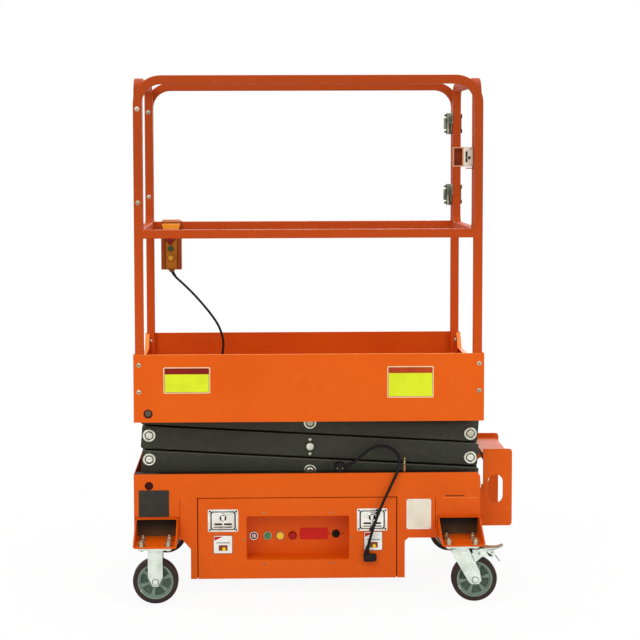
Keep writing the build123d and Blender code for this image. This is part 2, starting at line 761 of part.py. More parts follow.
# stage, places of the full-width shafts along the arm, place of the lower rollers, collar on the centre pin
pin_table = (
    (1, (0.0, arm_length), arm_length, True),
    (2, (0.0, arm_length), None, False),
    (3, (arm_length,), None, True),
)
for stage, shafts, roller_at, centre_collar in pin_table:
    with BuildPart() as pins:
        for along in shafts:
            end = roller_side + roller_width + 2 if along == roller_at else outer_face_y + collar_height + 0.5
            with BuildSketch(arm_plane("outer", stage, end)):
                with Locations((along, 0)):
                    Circle(pin_r)
            extrude(amount=2 * end)
            if along != roller_at:
                for side in (-1, 1):
                    collar("outer", stage, along, side)
        for side in (-1, 1):
            inner_end = side * (inner_y - pin_past_arm)
            outer_end = side * (outer_face_y + collar_height + 0.5)
            with BuildSketch(arm_plane("outer", stage, max(inner_end, outer_end))):
                with Locations((arm_length / 2, 0)):
                    Circle(pin_r)
            extrude(amount=abs(outer_end - inner_end))
            if not centre_collar:
                # retaining plate on the pin, with a screw above and one below
                plate_start = side * (outer_face_y + seat_gap)
                with BuildSketch(arm_plane("outer", stage, max(plate_start, plate_start + side * collar_base))):
                    with Locations((arm_length / 2, 0)):
                        RectangleRounded(2 * axle_r, 2 * (arm_end + axle_r), axle_r - 1)
                        Circle(collar_groove_r)
                extrude(amount=collar_base)
            if centre_collar:
                collar("outer", stage, arm_length / 2, side)
            if roller_at is not None:
                start = max(side * roller_side, side * (roller_side + roller_width))
                with BuildSketch(arm_plane("outer", stage, start)):
                    with Locations((roller_at, 0)):
                        Circle(roller_r)
                extrude(amount=roller_width)
    save(pins, f"pins_{stage}")

with BuildPart() as upper_rollers:
    end = roller_side + roller_width + 2
    with BuildSketch(arm_plane("inner", 3, end)):
        with Locations((arm_length, 0)):
            Circle(pin_r)
    extrude(amount=2 * end)
    for side in (-1, 1):
        start = max(side * roller_side, side * (roller_side + roller_width))
        with BuildSketch(arm_plane("inner", 3, start)):
            with Locations((arm_length, 0)):
                Circle(upper_roller_r)
        extrude(amount=roller_width)
save(upper_rollers, "upper_rollers")


def arm_point(stage, eye):
    """X, Z in the part's frame of a point given along and above a folded inner arm."""
    along, above = eye
    x = centre_x + left_pin_x + along * fold_cos - above * fold_sin
    z = lower_pin_z + (stage - 1) * lift_pitch + along * fold_sin + above * fold_cos
    return x, z


base_x, base_z = arm_point(1, base_eye)
rod_x, rod_z = arm_point(2, rod_eye)
closed_length = hypot(rod_x - base_x, rod_z - base_z)
cylinder_dir = ((rod_x - base_x) / closed_length, 0, (rod_z - base_z) / closed_length)


def along_cylinder(distance):
    """Plane square to the cylinder's axis, a distance from its base eye."""
    origin = (base_x + cylinder_dir[0] * distance, 0, base_z + cylinder_dir[2] * distance)
    return Plane(origin=origin, x_dir=(0, 1, 0), z_dir=cylinder_dir)


def eye_block(x, z):
    """Rounded eye of the cylinder at a pivot."""
    with BuildSketch(Plane(origin=(x, eye_half, z), x_dir=(1, 0, 0), z_dir=(0, -1, 0))) as eye_face:
        Circle(eye_r - 1)
    extrude(eye_face.sketch, amount=2 * eye_half)


with BuildPart() as cylinder_barrel:
    eye_block(base_x, base_z)
    with BuildSketch(along_cylinder(eye_r / 2)):
        Circle(eye_half - 2)
    extrude(amount=barrel_start - eye_r / 2 + 2)
    with BuildSketch(along_cylinder(barrel_start)):
        Circle(barrel_r)
    extrude(amount=barrel_end - barrel_start)
    with BuildSketch(along_cylinder(barrel_end)):
        Circle(gland_r)
    extrude(amount=gland_length)
    with BuildSketch(Plane(origin=(base_x, eye_half + 1, base_z), x_dir=(1, 0, 0), z_dir=(0, -1, 0))):
        Circle(eye_pin_r + pin_gap)
    extrude(amount=2 * eye_half + 2, mode=Mode.SUBTRACT)
    with BuildSketch(along_cylinder(barrel_end - rod_inside - 10)):
        Circle(rod_r + pin_gap)
    extrude(amount=rod_inside + gland_length + 11, mode=Mode.SUBTRACT)
save(cylinder_barrel, "cylinder_barrel")

with BuildPart() as cylinder_rod:
    with BuildSketch(along_cylinder(barrel_end - rod_inside)):
        Circle(rod_r)
    extrude(amount=closed_length - (barrel_end - rod_inside) - eye_r / 2)
    eye_block(rod_x, rod_z)
save(cylinder_rod, "cylinder_rod")

# ================================================================ drawer
face_y = -chassis_half_width
with BuildPart() as drawer_front:
    # panel with folded edges
    with BuildSketch(front(face_y + drawer_return)):
        rect(*drawer)
        with Locations(((recess[0] + recess[2]) / 2, (recess[1] + recess[3]) / 2)):
            RectangleRounded(recess[2] - recess[0], recess[3] - recess[1], recess_corner, mode=Mode.SUBTRACT)
    extrude(amount=drawer_return)
    with BuildSketch(front(face_y + drawer_return)):
        rect(
            drawer[0] + drawer_sheet,
            drawer[1] + drawer_sheet,
            drawer[2] - drawer_sheet,
            drawer[3] - drawer_sheet,
        )
        with Locations(((recess[0] + recess[2]) / 2, (recess[1] + recess[3]) / 2)):
            RectangleRounded(
                recess[2] - recess[0] + 2 * drawer_sheet,
                recess[3] - recess[1] + 2 * drawer_sheet,
                recess_corner + drawer_sheet,
                mode=Mode.SUBTRACT,
            )
    extrude(amount=drawer_return - drawer_sheet, mode=Mode.SUBTRACT)
    # recessed control pan
    with BuildSketch(front(face_y + recess_depth + drawer_sheet)):
        with Locations(((recess[0] + recess[2]) / 2, (recess[1] + recess[3]) / 2)):
            RectangleRounded(
                recess[2] - recess[0] + 2 * drawer_sheet,
                recess[3] - recess[1] + 2 * drawer_sheet,
                recess_corner + drawer_sheet,
            )
    extrude(amount=recess_depth)
    with BuildSketch(front(face_y + recess_depth)):
        with Locations(((recess[0] + recess[2]) / 2, (recess[1] + recess[3]) / 2)):
            RectangleRounded(recess[2] - recess[0], recess[3] - recess[1], recess_corner)
    extrude(amount=recess_depth + 1, mode=Mode.SUBTRACT)
save(drawer_front, "drawer_front")

tray_left_x = drawer[0] + tray_side
tray_right_x = drawer[2] - tray_side
tray_front_y = face_y + drawer_return + seat_gap
with BuildPart() as drawer_tray:
    with BuildSketch(front(tray_back_y)):
        rect(tray_left_x, tray_floor_z, tray_right_x, tray_floor_z + drawer_sheet)
        rect(tray_left_x, tray_floor_z, tray_left_x + drawer_sheet, tray_floor_z + tray_wall)
        rect(tray_right_x - drawer_sheet, tray_floor_z, tray_right_x, tray_floor_z + tray_wall)
    extrude(amount=tray_back_y - tray_front_y)
    with BuildSketch(front(tray_back_y)):
        rect(tray_left_x, tray_floor_z, tray_right_x, tray_floor_z + tray_wall)
    extrude(amount=drawer_sheet)
save(drawer_tray, "drawer_tray")

with BuildPart() as power_pack:
    # two batteries side by side and the pump unit, as plain blocks on the tray
    block_z = tray_floor_z + drawer_sheet + seat_gap
    tray_middle_x = (tray_left_x + tray_right_x) / 2
    recess_back_y = face_y + recess_depth + drawer_sheet
    battery_depth = (tray_back_y - recess_back_y - sum(battery_y_room)) / 2
    near_row_y = recess_back_y + battery_y_room[0]
    far_row_y = near_row_y + battery_depth + battery_y_room[1]
    with BuildSketch(level(block_z)):
        for row_y in (near_row_y, far_row_y):
            rect(tray_left_x + battery_room, row_y, tray_middle_x - battery_room, row_y + battery_depth)
    extrude(amount=battery_height)
    with BuildSketch(level(block_z)):
        rect(
            tray_middle_x + pump_room[0],
            recess_back_y + pump_y_room[0],
            tray_right_x - pump_room[1],
            tray_back_y - pump_y_room[1],
        )
    extrude(amount=pump_height)
save(power_pack, "power_pack")

with BuildPart() as drawer_latches:
    # flush pull latches: a flange with a raised rim round the paddle
    with BuildSketch(front(face_y - seat_gap)):
        with Locations(*latch_places):
            RectangleRounded(*latch_size, 5.0)
    extrude(amount=latch_thick)
    with BuildSketch(front(face_y - seat_gap - latch_thick + 2)):
        with Locations(*latch_places):
            RectangleRounded(latch_size[0] - 22, latch_size[1] - 20, 4.0)
    extrude(amount=3.0, mode=Mode.SUBTRACT)
save(drawer_latches, "drawer_latches")

with BuildPart() as panel_controls:
    panel_y = face_y + recess_depth - seat_gap
    for control_x, control_r, control_reach in controls:
        with BuildSketch(front(panel_y)):
            with Locations((recess[0] + control_x, control_row_z)):
                Circle(control_r)
        extrude(amount=control_reach, taper=10)
    with BuildSketch(front(panel_y)):
        with Locations((socket[0], socket[1])):
            Circle(socket[2])
            Circle(socket[2] - 4, mode=Mode.SUBTRACT)
    extrude(amount=4.0)
save(panel_controls, "panel_controls")

with BuildPart() as lead_outlet:
    with BuildSketch(front(face_y - seat_gap)):
        with Locations(((outlet[0] + outlet[2]) / 2, (outlet[1] + outlet[3]) / 2)):
            RectangleRounded(outlet[2] - outlet[0], outlet[3] - outlet[1], 4.0)
    extrude(amount=outlet_reach)
save(lead_outlet, "lead_outlet")


# ================================================================ cords
def corner_radii(points):
    """Largest arc that each corner's two runs allow."""
    radii = []
    for before, corner, after in zip(points, points[1:], points[2:]):
        first = Vector(*corner) - Vector(*before)
        second = Vector(*after) - Vector(*corner)
        turn = radians(first.get_angle(second))
        radii.append(0.45 * min(first.length, second.length) / tan(turn / 2))
    return radii


def make_cord(label, route, radius):
    """Round cord along a route given as X from the platform's centre, Y and Z."""
    points = [(centre_x + x, y, z) for x, y, z in route]
    radii = corner_radii(points)
    print(label, "radii", [round(value) for value in radii])
    with BuildPart() as cord:
        with BuildLine() as path:
            FilletPolyline(*points, radius=radii)
        with BuildSketch(Plane(origin=path.line @ 0, z_dir=path.line % 0)):
            Circle(radius)
        sweep()
    run = path.wires()[0].length
    print(label, "length", round(run), "volume ratio",
          round(cord.part.volume / (run * 3.14159265 * radius ** 2), 4))
    save(cord, label)


# X from the outlet's left edge, Y from the drawer's face, Z
lead_points = (
    (7.9, -15.0, outlet[3]),
    (25.4, -19.0, 222.0),
    (62.4, -23.0, 324.0),
    (94.4, -21.0, 389.0),
    (121.6, -8.0, 444.0),
    (129.6, 9.0, 480.0),
    (109.6, 24.0, 510.0),
    (67.0, 32.0, 524.5),
    (29.6, 34.0, 513.4),
    (-8.2, 31.0, 484.0),
    (-40.4, 21.0, 459.0),
    (-60.9, 15.5, 452.0),
)
lead_route = [(outlet[0] + x, face_y + y, z) for x, y, z in lead_points]
make_cord("mains_lead", lead_route, lead_r)

with BuildPart() as mains_plug:
    # flat angled plug lying on the near track: a disc with two pins, and the neck that the lead enters
    plug_r = 19.0
    plug_thick = 25.0
    plug_reach = 83.1
    plug_inset = 28.0
    plug_x, plug_z = outlet[0] - plug_reach, track_top_z + seat_gap + plug_r
    plug_back_y = face_y + plug_inset
    with BuildSketch(front(plug_back_y)):
        with Locations((plug_x, plug_z)):
            Circle(plug_r)
    extrude(amount=plug_thick)
    neck_end = Vector(centre_x + lead_route[-1][0], lead_route[-1][1], lead_route[-1][2])
    neck_start = Vector(centre_x + plug_x + 8, lead_route[-1][1], plug_z)
    with BuildSketch(Plane(origin=neck_start, z_dir=neck_end - neck_start)):
        Circle(7.5)
    extrude(amount=(neck_end - neck_start).length)
    with BuildSketch(front(plug_back_y - plug_thick)):
        with Locations((plug_x - 9.5, plug_z), (plug_x + 9.5, plug_z)):
            Circle(2.4)
    extrude(amount=19.0)
save(mains_plug, "mains_plug")

# ================================================================ platform
with BuildPart() as deck:
    with BuildSketch(level(deck_top_z - deck_sheet)):
        inside_x = platform_half_length - board_sheet - seat_gap
        inside_y = platform_half_width - board_sheet - seat_gap
        rect(-inside_x, -inside_y, inside_x, inside_y)
        # corner notches that the guard posts stand in
        post_side_y = platform_half_width - board_sheet - rail - 2 * seat_gap
        for side in (-1, 1):
            rect(
                -inside_x - 1,
                side * post_side_y,
                guard_left_x + rail + seat_gap,
                side * (inside_y + 1),
                mode=Mode.SUBTRACT,
            )
            rect(
                guard_right_x - rail - seat_gap,
                side * post_side_y,
                inside_x + 1,
                side * (inside_y + 1),
                mode=Mode.SUBTRACT,
            )
        # hole where the pendant's cable goes below the deck
        with Locations(cable_hole[:2]):
            Circle(cable_hole[2], mode=Mode.SUBTRACT)
    extrude(amount=deck_sheet)
save(deck, "deck")

upper_track_top_z = deck_top_z - deck_sheet - seat_gap
with BuildPart() as platform_tracks:
    track_end_x = platform_half_length - board_sheet - seat_gap
    wear_bottom_z = upper_pin_z + upper_roller_r + seat_gap
    with BuildSketch(section(-track_end_x)):
        for side in (-1, 1):
            outer = side * (chassis_half_width - chassis_wall)
            inner = outer - side * (track_flange - chassis_wall)
            rect(outer, upper_track_bottom_z, inner, upper_track_top_z)
            rect(
                outer - side * chassis_wall,
                upper_track_bottom_z + chassis_wall,
                inner - side,
                wear_bottom_z,
                mode=Mode.SUBTRACT,
            )
            rect(
                outer - side * 10,
                wear_bottom_z + 8,
                inner - side,
                upper_track_top_z - chassis_wall,
                mode=Mode.SUBTRACT,
            )
    extrude(amount=2 * track_end_x)
    # pivot brackets and pins of the uppermost outer arms
    for side in (-1, 1):
        near_y = side * (chassis_half_width - track_flange)
        far_y = near_y + side * lug_thick
        with BuildSketch(front(max(near_y, far_y))):
            rect(
                left_pin_x - lug_half,
                upper_track_bottom_z + chassis_wall,
                left_pin_x + lug_half,
                wear_bottom_z,
            )
        extrude(amount=lug_thick)
        inner_end = side * (outer_y - pin_gap)
        outer_end = far_y + side * lug_thick
        with BuildSketch(front(max(inner_end, outer_end))):
            with Locations((left_pin_x, upper_pin_z)):
                Circle(pin_r)
        extrude(amount=abs(outer_end - inner_end))
save(platform_tracks, "platform_tracks")

with BuildPart() as toe_boards:
    for board_face in (platform_half_width, -platform_half_width + board_sheet):
        with BuildSketch(front(board_face)):
            rect(-platform_half_length, board_bottom_z, platform_half_length, board_top_z)
            with Locations((board_hole[0], board_hole[1])):
                Circle(board_hole[2], mode=Mode.SUBTRACT)
        extrude(amount=board_sheet)
    half = platform_half_width - board_sheet
    step = half - end_board_step
    slope = step - end_board_slope
    board_foot_z = deck_top_z - deck_sheet - 6
    # end boards, lower between their corners, with the top edge turned inwards
    for end_x, inward in ((-platform_half_length, 1), (platform_half_length, -1)):
        with BuildSketch(section(min(end_x, end_x + inward * board_sheet))):
            outline(
                (-half, board_foot_z), (half, board_foot_z), (half, board_top_z), (step, board_top_z),
                (slope, end_board_top_z), (-slope, end_board_top_z), (-step, board_top_z), (-half, board_top_z),
            )
        extrude(amount=board_sheet)
        with BuildSketch(section(min(end_x, end_x + inward * end_board_flange))):
            outline(
                (step, board_top_z), (slope, end_board_top_z), (-slope, end_board_top_z), (-step, board_top_z),
                (-step, board_top_z - 2 * board_sheet), (-slope, end_board_top_z - board_sheet),
                (slope, end_board_top_z - board_sheet), (step, board_top_z - 2 * board_sheet),
            )
        extrude(amount=end_board_flange)
save(toe_boards, "toe_boards")

guard_foot_z = deck_top_z - deck_sheet
guard_face_y = platform_half_width - board_sheet - seat_gap
for side, name in ((-1, "near"), (1, "far")):
    with BuildPart() as guard:
        with BuildSketch(front(max(side * guard_face_y, side * (guard_face_y - rail)))) as frame:
            rect(guard_left_x, guard_foot_z, guard_right_x, guard_top_z)
            fillet(frame.vertices().group_by(Axis.Y)[-1], guard_corner_r)
            with BuildSketch(mode=Mode.SUBTRACT) as inside_frame:
                rect(guard_left_x + rail, guard_foot_z - 1, guard_right_x - rail, guard_top_z - rail)
                fillet(inside_frame.vertices().group_by(Axis.Y)[-1], guard_corner_r - rail)
            rect(guard_left_x + rail, mid_rail_z, guard_right_x - rail, mid_rail_z + rail)
        extrude(amount=rail)
    save(guard, f"guard_{name}")


def rail_loop(x, y_near, y_far, z_low, z_high):
    """Closed loop of square tube across the machine, with rounded corners."""
    with BuildSketch(section(x)) as loop:
        with Locations(((y_near + y_far) / 2, (z_low + z_high) / 2)):
            RectangleRounded(y_far - y_near, z_high - z_low, loop_corner_r)
            RectangleRounded(
                y_far - y_near - 2 * rail, z_high - z_low - 2 * rail, loop_corner_r - rail, mode=Mode.SUBTRACT
            )
    extrude(loop.sketch, amount=rail)


loop_half = guard_face_y - rail - seat_gap
with BuildPart() as end_loop:
    rail_loop(guard_left_x, -loop_half, loop_half, mid_rail_z, loop_top_z)
save(end_loop, "end_loop")

gate_x = guard_right_x - rail
with BuildPart() as gate_frame:
    rail_loop(gate_x, -loop_half + gate_side_gap, loop_half - gate_side_gap, mid_rail_z, loop_top_z)
save(gate_frame, "gate_frame")

with BuildPart() as gate_hinges:
    # leaves on the gate's far upright, with the knuckles on the inside
    leaf_x = gate_x - seat_gap
    gate_edge_y = loop_half - gate_side_gap
    for hinge_z in (hinge_low_z, hinge_high_z):
        with BuildSketch(level(hinge_z)):
            rect(leaf_x - hinge_leaf, gate_edge_y - rail, leaf_x, hinge_axis_y)
            rect(hinge_axis_x, hinge_axis_y - hinge_knuckle_r, leaf_x, hinge_axis_y - hinge_knuckle_r + hinge_leaf)
            with Locations((hinge_axis_x, hinge_axis_y)):
                Circle(hinge_knuckle_r)
        extrude(amount=hinge_height / 2)
save(gate_hinges, "gate_hinges")

with BuildPart() as hinge_posts:
    # leaves on the far guard's post, each with its knuckle below the gate's
    for hinge_z in (hinge_low_z, hinge_high_z):
        with BuildSketch(level(hinge_z - hinge_height / 2 - seat_gap)):
            rect(leaf_x - hinge_leaf, hinge_axis_y, leaf_x, guard_face_y - 4)
            rect(hinge_axis_x, hinge_axis_y + hinge_knuckle_r - hinge_leaf, leaf_x, hinge_axis_y + hinge_knuckle_r)
            with Locations((hinge_axis_x, hinge_axis_y)):
                Circle(hinge_knuckle_r)
        extrude(amount=hinge_height / 2)
save(hinge_posts, "hinge_posts")

with BuildPart() as gate_latch:
    # latch plate and folded grip on the inside of the gate's near upright
    latch_near_y = -loop_half + gate_side_gap
    with BuildSketch(section(latch_plate_x)):
        rect(latch_near_y, latch_z, latch_near_y + rail, latch_z + latch_height)
    extrude(amount=gate_x - seat_gap - latch_plate_x)
    with BuildSketch(front(latch_near_y + rail)):
        rect(latch_box_x, latch_z, latch_plate_x, latch_z + latch_height)
        rect(
            latch_box_x + 4, latch_z + 4, latch_plate_x - 4, latch_z + latch_height - 4, mode=Mode.SUBTRACT
        )
    extrude(amount=rail)
    with BuildSketch(front(latch_near_y + rail)):
        rect(latch_box_x, latch_z, latch_plate_x, latch_z + latch_height)
    extrude(amount=4)
save(gate_latch, "gate_latch")

# ================================================================ pendant control
holster_back_y = guard_face_y - rail - seat_gap
holster_top_z = mid_rail_z + rail + seat_gap + holster_sheet
holster_bottom_z = holster_top_z - holster_height
holster_left_x = holster_x - holster_width / 2
holster_right_x = holster_x + holster_width / 2
with BuildPart() as pendant_holster:
    # back plate hooked over the far middle rail
    with BuildSketch(section(holster_left_x)):
        rect(holster_back_y - holster_sheet, holster_bottom_z, holster_back_y, holster_top_z)
        rect(holster_back_y, holster_top_z - holster_sheet, guard_face_y + holster_sheet, holster_top_z)
    extrude(amount=holster_width)
    # pocket: two sides, two front lips and the bottom with the cable slot
    pocket_top_z = mid_rail_z - 4
    with BuildSketch(level(holster_bottom_z)):
        front_y = holster_back_y - holster_depth
        rect(holster_left_x, front_y, holster_right_x, holster_back_y)
        rect(
            holster_left_x + holster_sheet,
            front_y + holster_sheet,
            holster_right_x - holster_sheet,
            holster_back_y - holster_sheet,
            mode=Mode.SUBTRACT,
        )
        rect(holster_left_x + 14, front_y - 1, holster_right_x - 14, front_y + holster_sheet + 1, mode=Mode.SUBTRACT)
    extrude(amount=pocket_top_z - holster_bottom_z)
    with BuildSketch(level(holster_bottom_z)):
        rect(holster_left_x, front_y, holster_right_x, holster_back_y)
        with Locations((holster_x, holster_back_y - holster_depth / 2)):
            Circle(11.0, mode=Mode.SUBTRACT)
    extrude(amount=holster_sheet)
save(pendant_holster, "pendant_holster")

pendant_y = holster_back_y - holster_depth / 2
with BuildPart() as pendant:
    with BuildSketch(level(holster_bottom_z + holster_sheet + seat_gap)):
        with Locations((holster_x, pendant_y)):
            RectangleRounded(pendant_size[0], pendant_size[1], 8.0)
    extrude(amount=pendant_size[2])
    with BuildSketch(level(holster_bottom_z + holster_sheet + seat_gap + pendant_size[2])):
        with Locations((holster_x, pendant_y)):
            RectangleRounded(pendant_cap[0], pendant_cap[1], 8.0)
    extrude(amount=pendant_cap[2])
    with BuildSketch(level(gland_tip_z)):
        with Locations((holster_x, pendant_y)):
            Circle(8.0)
    extrude(amount=holster_bottom_z + holster_sheet + seat_gap - gland_tip_z + 1)
save(pendant, "pendant")

# X from the holster's middle, Y from the pendant's, Z
cord_points = (
    (0.0, 0.0, gland_tip_z),
    (2.5, 0.0, 1080.0),
    (41.0, -3.4, 1054.0),
    (94.1, -6.4, 1004.4),
    (143.3, -12.4, 946.4),
    (172.8, -16.4, 905.1),
    (189.8, -20.4, 866.6),
    (197.1, -24.4, 828.1),
    (191.5, -27.4, 789.4),
    (cable_hole_run[0], cable_hole[1] - pendant_y, 752.0),
    (cable_hole_run[0], cable_hole[1] - pendant_y, deck_top_z - deck_sheet / 2),
)
cord_route = [(holster_x + x, pendant_y + y, z) for x, y, z in cord_points]
make_cord("pendant_cord", cord_route, cord_r)
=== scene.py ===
"""Push-around scissor lift: finishes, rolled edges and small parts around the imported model."""

import json
import math

import bmesh
import bpy
from mathutils import Matrix, Vector

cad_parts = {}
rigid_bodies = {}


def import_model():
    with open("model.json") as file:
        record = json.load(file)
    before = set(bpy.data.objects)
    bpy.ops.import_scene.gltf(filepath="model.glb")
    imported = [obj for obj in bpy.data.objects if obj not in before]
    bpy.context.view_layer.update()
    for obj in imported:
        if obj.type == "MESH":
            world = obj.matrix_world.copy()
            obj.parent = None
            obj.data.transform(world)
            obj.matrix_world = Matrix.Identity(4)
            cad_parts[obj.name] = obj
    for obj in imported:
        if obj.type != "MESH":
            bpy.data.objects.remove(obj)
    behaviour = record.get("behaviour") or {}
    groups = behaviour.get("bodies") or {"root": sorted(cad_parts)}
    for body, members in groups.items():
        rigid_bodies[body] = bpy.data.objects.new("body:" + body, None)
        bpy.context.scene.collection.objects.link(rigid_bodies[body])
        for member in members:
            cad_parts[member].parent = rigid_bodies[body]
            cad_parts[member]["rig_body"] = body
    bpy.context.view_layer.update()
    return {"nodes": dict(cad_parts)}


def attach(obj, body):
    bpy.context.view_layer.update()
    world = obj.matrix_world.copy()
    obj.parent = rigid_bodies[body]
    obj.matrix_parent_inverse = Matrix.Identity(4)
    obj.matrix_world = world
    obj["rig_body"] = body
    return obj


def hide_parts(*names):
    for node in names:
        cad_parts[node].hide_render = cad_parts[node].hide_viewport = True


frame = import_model()
NODES = frame["nodes"]

# Places in metres. +X is the push-handle end, -Y the control side.
# X values below count from the platform's centre, apart from those that say otherwise.
PLATFORM_X = -0.060             # platform's centre in the part's own frame
FACE_Y = -0.265                 # chassis and drawer faces on the control side
BOARD_Y = 0.330                 # toe boards' outer faces, both sides
POST_FACE_Y = 0.2967            # guard posts' inner faces
RECESS_Y = FACE_Y + 0.090       # back of the recessed control panel
SKIRT_Y = 0.265                 # skirts' and tracks' outer faces, both sides
SEAM_Z = 0.347                  # where the skirt meets the lower track
TRACK_TOP_Z = 0.432
DECK_TOP_Z = 0.711
BOARD_TOP_Z = 0.861
BEAM_WEB_Y = 0.233
BEAM_ROOF_Z = 0.2735            # underside of the cross beams' top
WHEEL_RADIUS = 0.0785
WHEEL_Y = 0.345
FORK_FACE_Y = WHEEL_Y + 0.031
FIXED_X = -0.5325
SWIVEL_X = 0.5245
KING_PIN_X = PLATFORM_X + SWIVEL_X      # in the part's own frame
TRAIL = 0.046                   # from a swivel's king pin to its axle
ARM_LENGTH = 1.140              # between an arm's end pins
STAGE_RISE = 0.0862             # of one folded stage
LEFT_PIN_X = -0.561
LOWER_PIN_Z = 0.385
ARM_FACE_Y = 0.200
PENDANT_Y = 0.2744              # middle of the pendant
PENDANT_FACE_Y = PENDANT_Y - 0.017
HOLSTER_BACK_Y = 0.2964
LATCH_Y = -0.2847               # gate latch's plate
GRIP_X = PLATFORM_X + 0.5172    # middle of the gate's folded grip, in the part's own frame
GRIP_Z = 1.5365
HINGE_HEIGHTS = (1.3910, 1.6600)        # middles of the gate's hinges
SAME = 1e-4                     # places closer than this are the same
UP = Vector((0, 0, 1))
TO_FRONT = Vector((0, -1, 0))


# ------------------------------------------------------------------ finishes
# colours are display values of 0 to 255
def rgb(red, green, blue):
    """Linear colour from display values."""
    linear = []
    for value in (red, green, blue):
        share = value / 255
        linear.append(share / 12.92 if share <= 0.04045 else ((share + 0.055) / 1.055) ** 2.4)
    return (*linear, 1.0)


def start_finish(name, colour, roughness, metallic=0.0, gloss_level=0.5):
    """New finish with its node tree, its shader and the coordinates that its patterns follow."""
    finish = bpy.data.materials.new(name)
    finish.use_nodes = True
    tree = finish.node_tree
    shader = tree.nodes["Principled BSDF"]
    shader.inputs["Base Color"].default_value = colour
    shader.inputs["Roughness"].default_value = roughness
    shader.inputs["Metallic"].default_value = metallic
    shader.inputs["Specular IOR Level"].default_value = gloss_level
    coords = tree.nodes.new("ShaderNodeTexCoord").outputs["Object"]
    return finish, tree, shader, coords


def noise(tree, coords, scale, detail=4.0, stretch=None):
    """Uneven pattern, drawn out along an axis by a stretch."""
    if stretch:
        mapping = tree.nodes.new("ShaderNodeMapping")
        mapping.inputs["Scale"].default_value = stretch
        tree.links.new(coords, mapping.inputs["Vector"])
        coords = mapping.outputs["Vector"]
    texture = tree.nodes.new("ShaderNodeTexNoise")
    texture.inputs["Scale"].default_value = scale
    texture.inputs["Detail"].default_value = detail
    tree.links.new(coords, texture.inputs["Vector"])
    return texture.outputs["Fac"]


def spread(tree, value, low, high, low_in=0.3, high_in=0.7):
    """The value's middle range stretched to run from low to high."""
    node = tree.nodes.new("ShaderNodeMapRange")
    node.inputs["From Min"].default_value = low_in
    node.inputs["From Max"].default_value = high_in
    node.inputs["To Min"].default_value = low
    node.inputs["To Max"].default_value = high
    tree.links.new(value, node.inputs["Value"])
    return node.outputs["Result"]


def mix(tree, factor, first, second):
    """Colour between two, each a fixed colour or a socket."""
    node = tree.nodes.new("ShaderNodeMix")
    node.data_type = "RGBA"
    tree.links.new(factor, node.inputs["Factor"])
    sockets = [socket for socket in node.inputs if socket.type == "RGBA"]
    for socket, colour in zip(sockets, (first, second)):
        if isinstance(colour, tuple):
            socket.default_value = colour
        else:
            tree.links.new(colour, socket)
    return next(socket for socket in node.outputs if socket.type == "RGBA")


def bump(tree, shader, height, strength, distance, under=None):
    """Fine relief on a finish, over a coarser one where that is given."""
    node = tree.nodes.new("ShaderNodeBump")
    node.inputs["Strength"].default_value = strength
    node.inputs["Distance"].default_value = distance
    tree.links.new(height, node.inputs["Height"])
    if under:
        tree.links.new(under, node.inputs["Normal"])
    tree.links.new(node.outputs["Normal"], shader.inputs["Normal"])
    return node.outputs["Normal"]


def paint(name, colour, drift_and_shade_tone, dusty, gloss=(0.28, 0.44), peel=0.05, heights=None):
    """Sprayed paint: slow colour drift, a little dust, hairline scuffs, uneven gloss and orange peel.

    gloss is the roughness from the shiniest to the dullest patches, and heights are where a painted shade
    starts and where it is full, on pieces painted darker upwards in place of the drift.
    """
    colour, drift_and_shade_tone, dusty = rgb(*colour), rgb(*drift_and_shade_tone), rgb(*dusty)
    finish, tree, shader, coords = start_finish(name, colour, 0.4, gloss_level=0.15)
    drift = spread(tree, noise(tree, coords, 2.3), 0.0, 1.0)
    # where heights are given, height takes the drift's place: painted shade, darker upwards
    if heights:
        places = tree.nodes.new("ShaderNodeSeparateXYZ")
        tree.links.new(coords, places.inputs["Vector"])
        drift = spread(tree, places.outputs["Z"], 0.0, 1.0, *heights)
    dust = spread(tree, noise(tree, coords, 38.0, 8.0), 0.0, 0.30, 0.56, 0.8)
    scuff = spread(tree, noise(tree, coords, 34.0, 6.0, (0.5, 0.5, 9.0)), 0.0, 0.35, 0.70, 0.78)
    coated = mix(tree, dust, mix(tree, drift, colour, drift_and_shade_tone), dusty)
    tree.links.new(mix(tree, scuff, coated, dusty), shader.inputs["Base Color"])
    tree.links.new(spread(tree, noise(tree, coords, 11.0, 6.0), *gloss), shader.inputs["Roughness"])
    waves = bump(tree, shader, noise(tree, coords, 3.5, 2.0), 0.10, 0.004)
    bump(tree, shader, noise(tree, coords, 620.0, 2.0), peel, 0.0004, waves)
    return finish


DRAWN = (1.0, 1.0, 6.0)         # stretch of the streaks that drawing leaves on plate


def plated(name, colour, stain, roughness, metal=1.0):
    """Zinc or chrome plate: faint stains, drawn streaks and fine scratches."""
    colour, stain = rgb(*colour), rgb(*stain)
    finish, tree, shader, coords = start_finish(name, colour, roughness, metal)
    blotches = spread(tree, noise(tree, coords, 26.0, 6.0), 0.0, 1.0, 0.4, 0.7)
    tree.links.new(mix(tree, blotches, colour, stain), shader.inputs["Base Color"])
    streaks = noise(tree, coords, 160.0, 3.0, DRAWN)
    tree.links.new(spread(tree, streaks, roughness * 0.75, roughness * 1.35), shader.inputs["Roughness"])
    bump(tree, shader, noise(tree, coords, 420.0, 3.0, DRAWN), 0.06, 0.0003)
    return finish


def moulded(name, colour, worn, roughness, grain=0.12):
    """Moulded plastic, rubber or printed film with a fine grain."""
    colour, worn = rgb(*colour), rgb(*worn)
    finish, tree, shader, coords = start_finish(name, colour, roughness, gloss_level=0.2)
    patches = spread(tree, noise(tree, coords, 22.0, 6.0), 0.0, 1.0, 0.42, 0.72)
    tree.links.new(mix(tree, patches, colour, worn), shader.inputs["Base Color"])
    wear = spread(tree, noise(tree, coords, 60.0), roughness * 0.85, roughness * 1.15)
    tree.links.new(wear, shader.inputs["Roughness"])
    bump(tree, shader, noise(tree, coords, 900.0, 2.0), grain, 0.0003)
    return finish


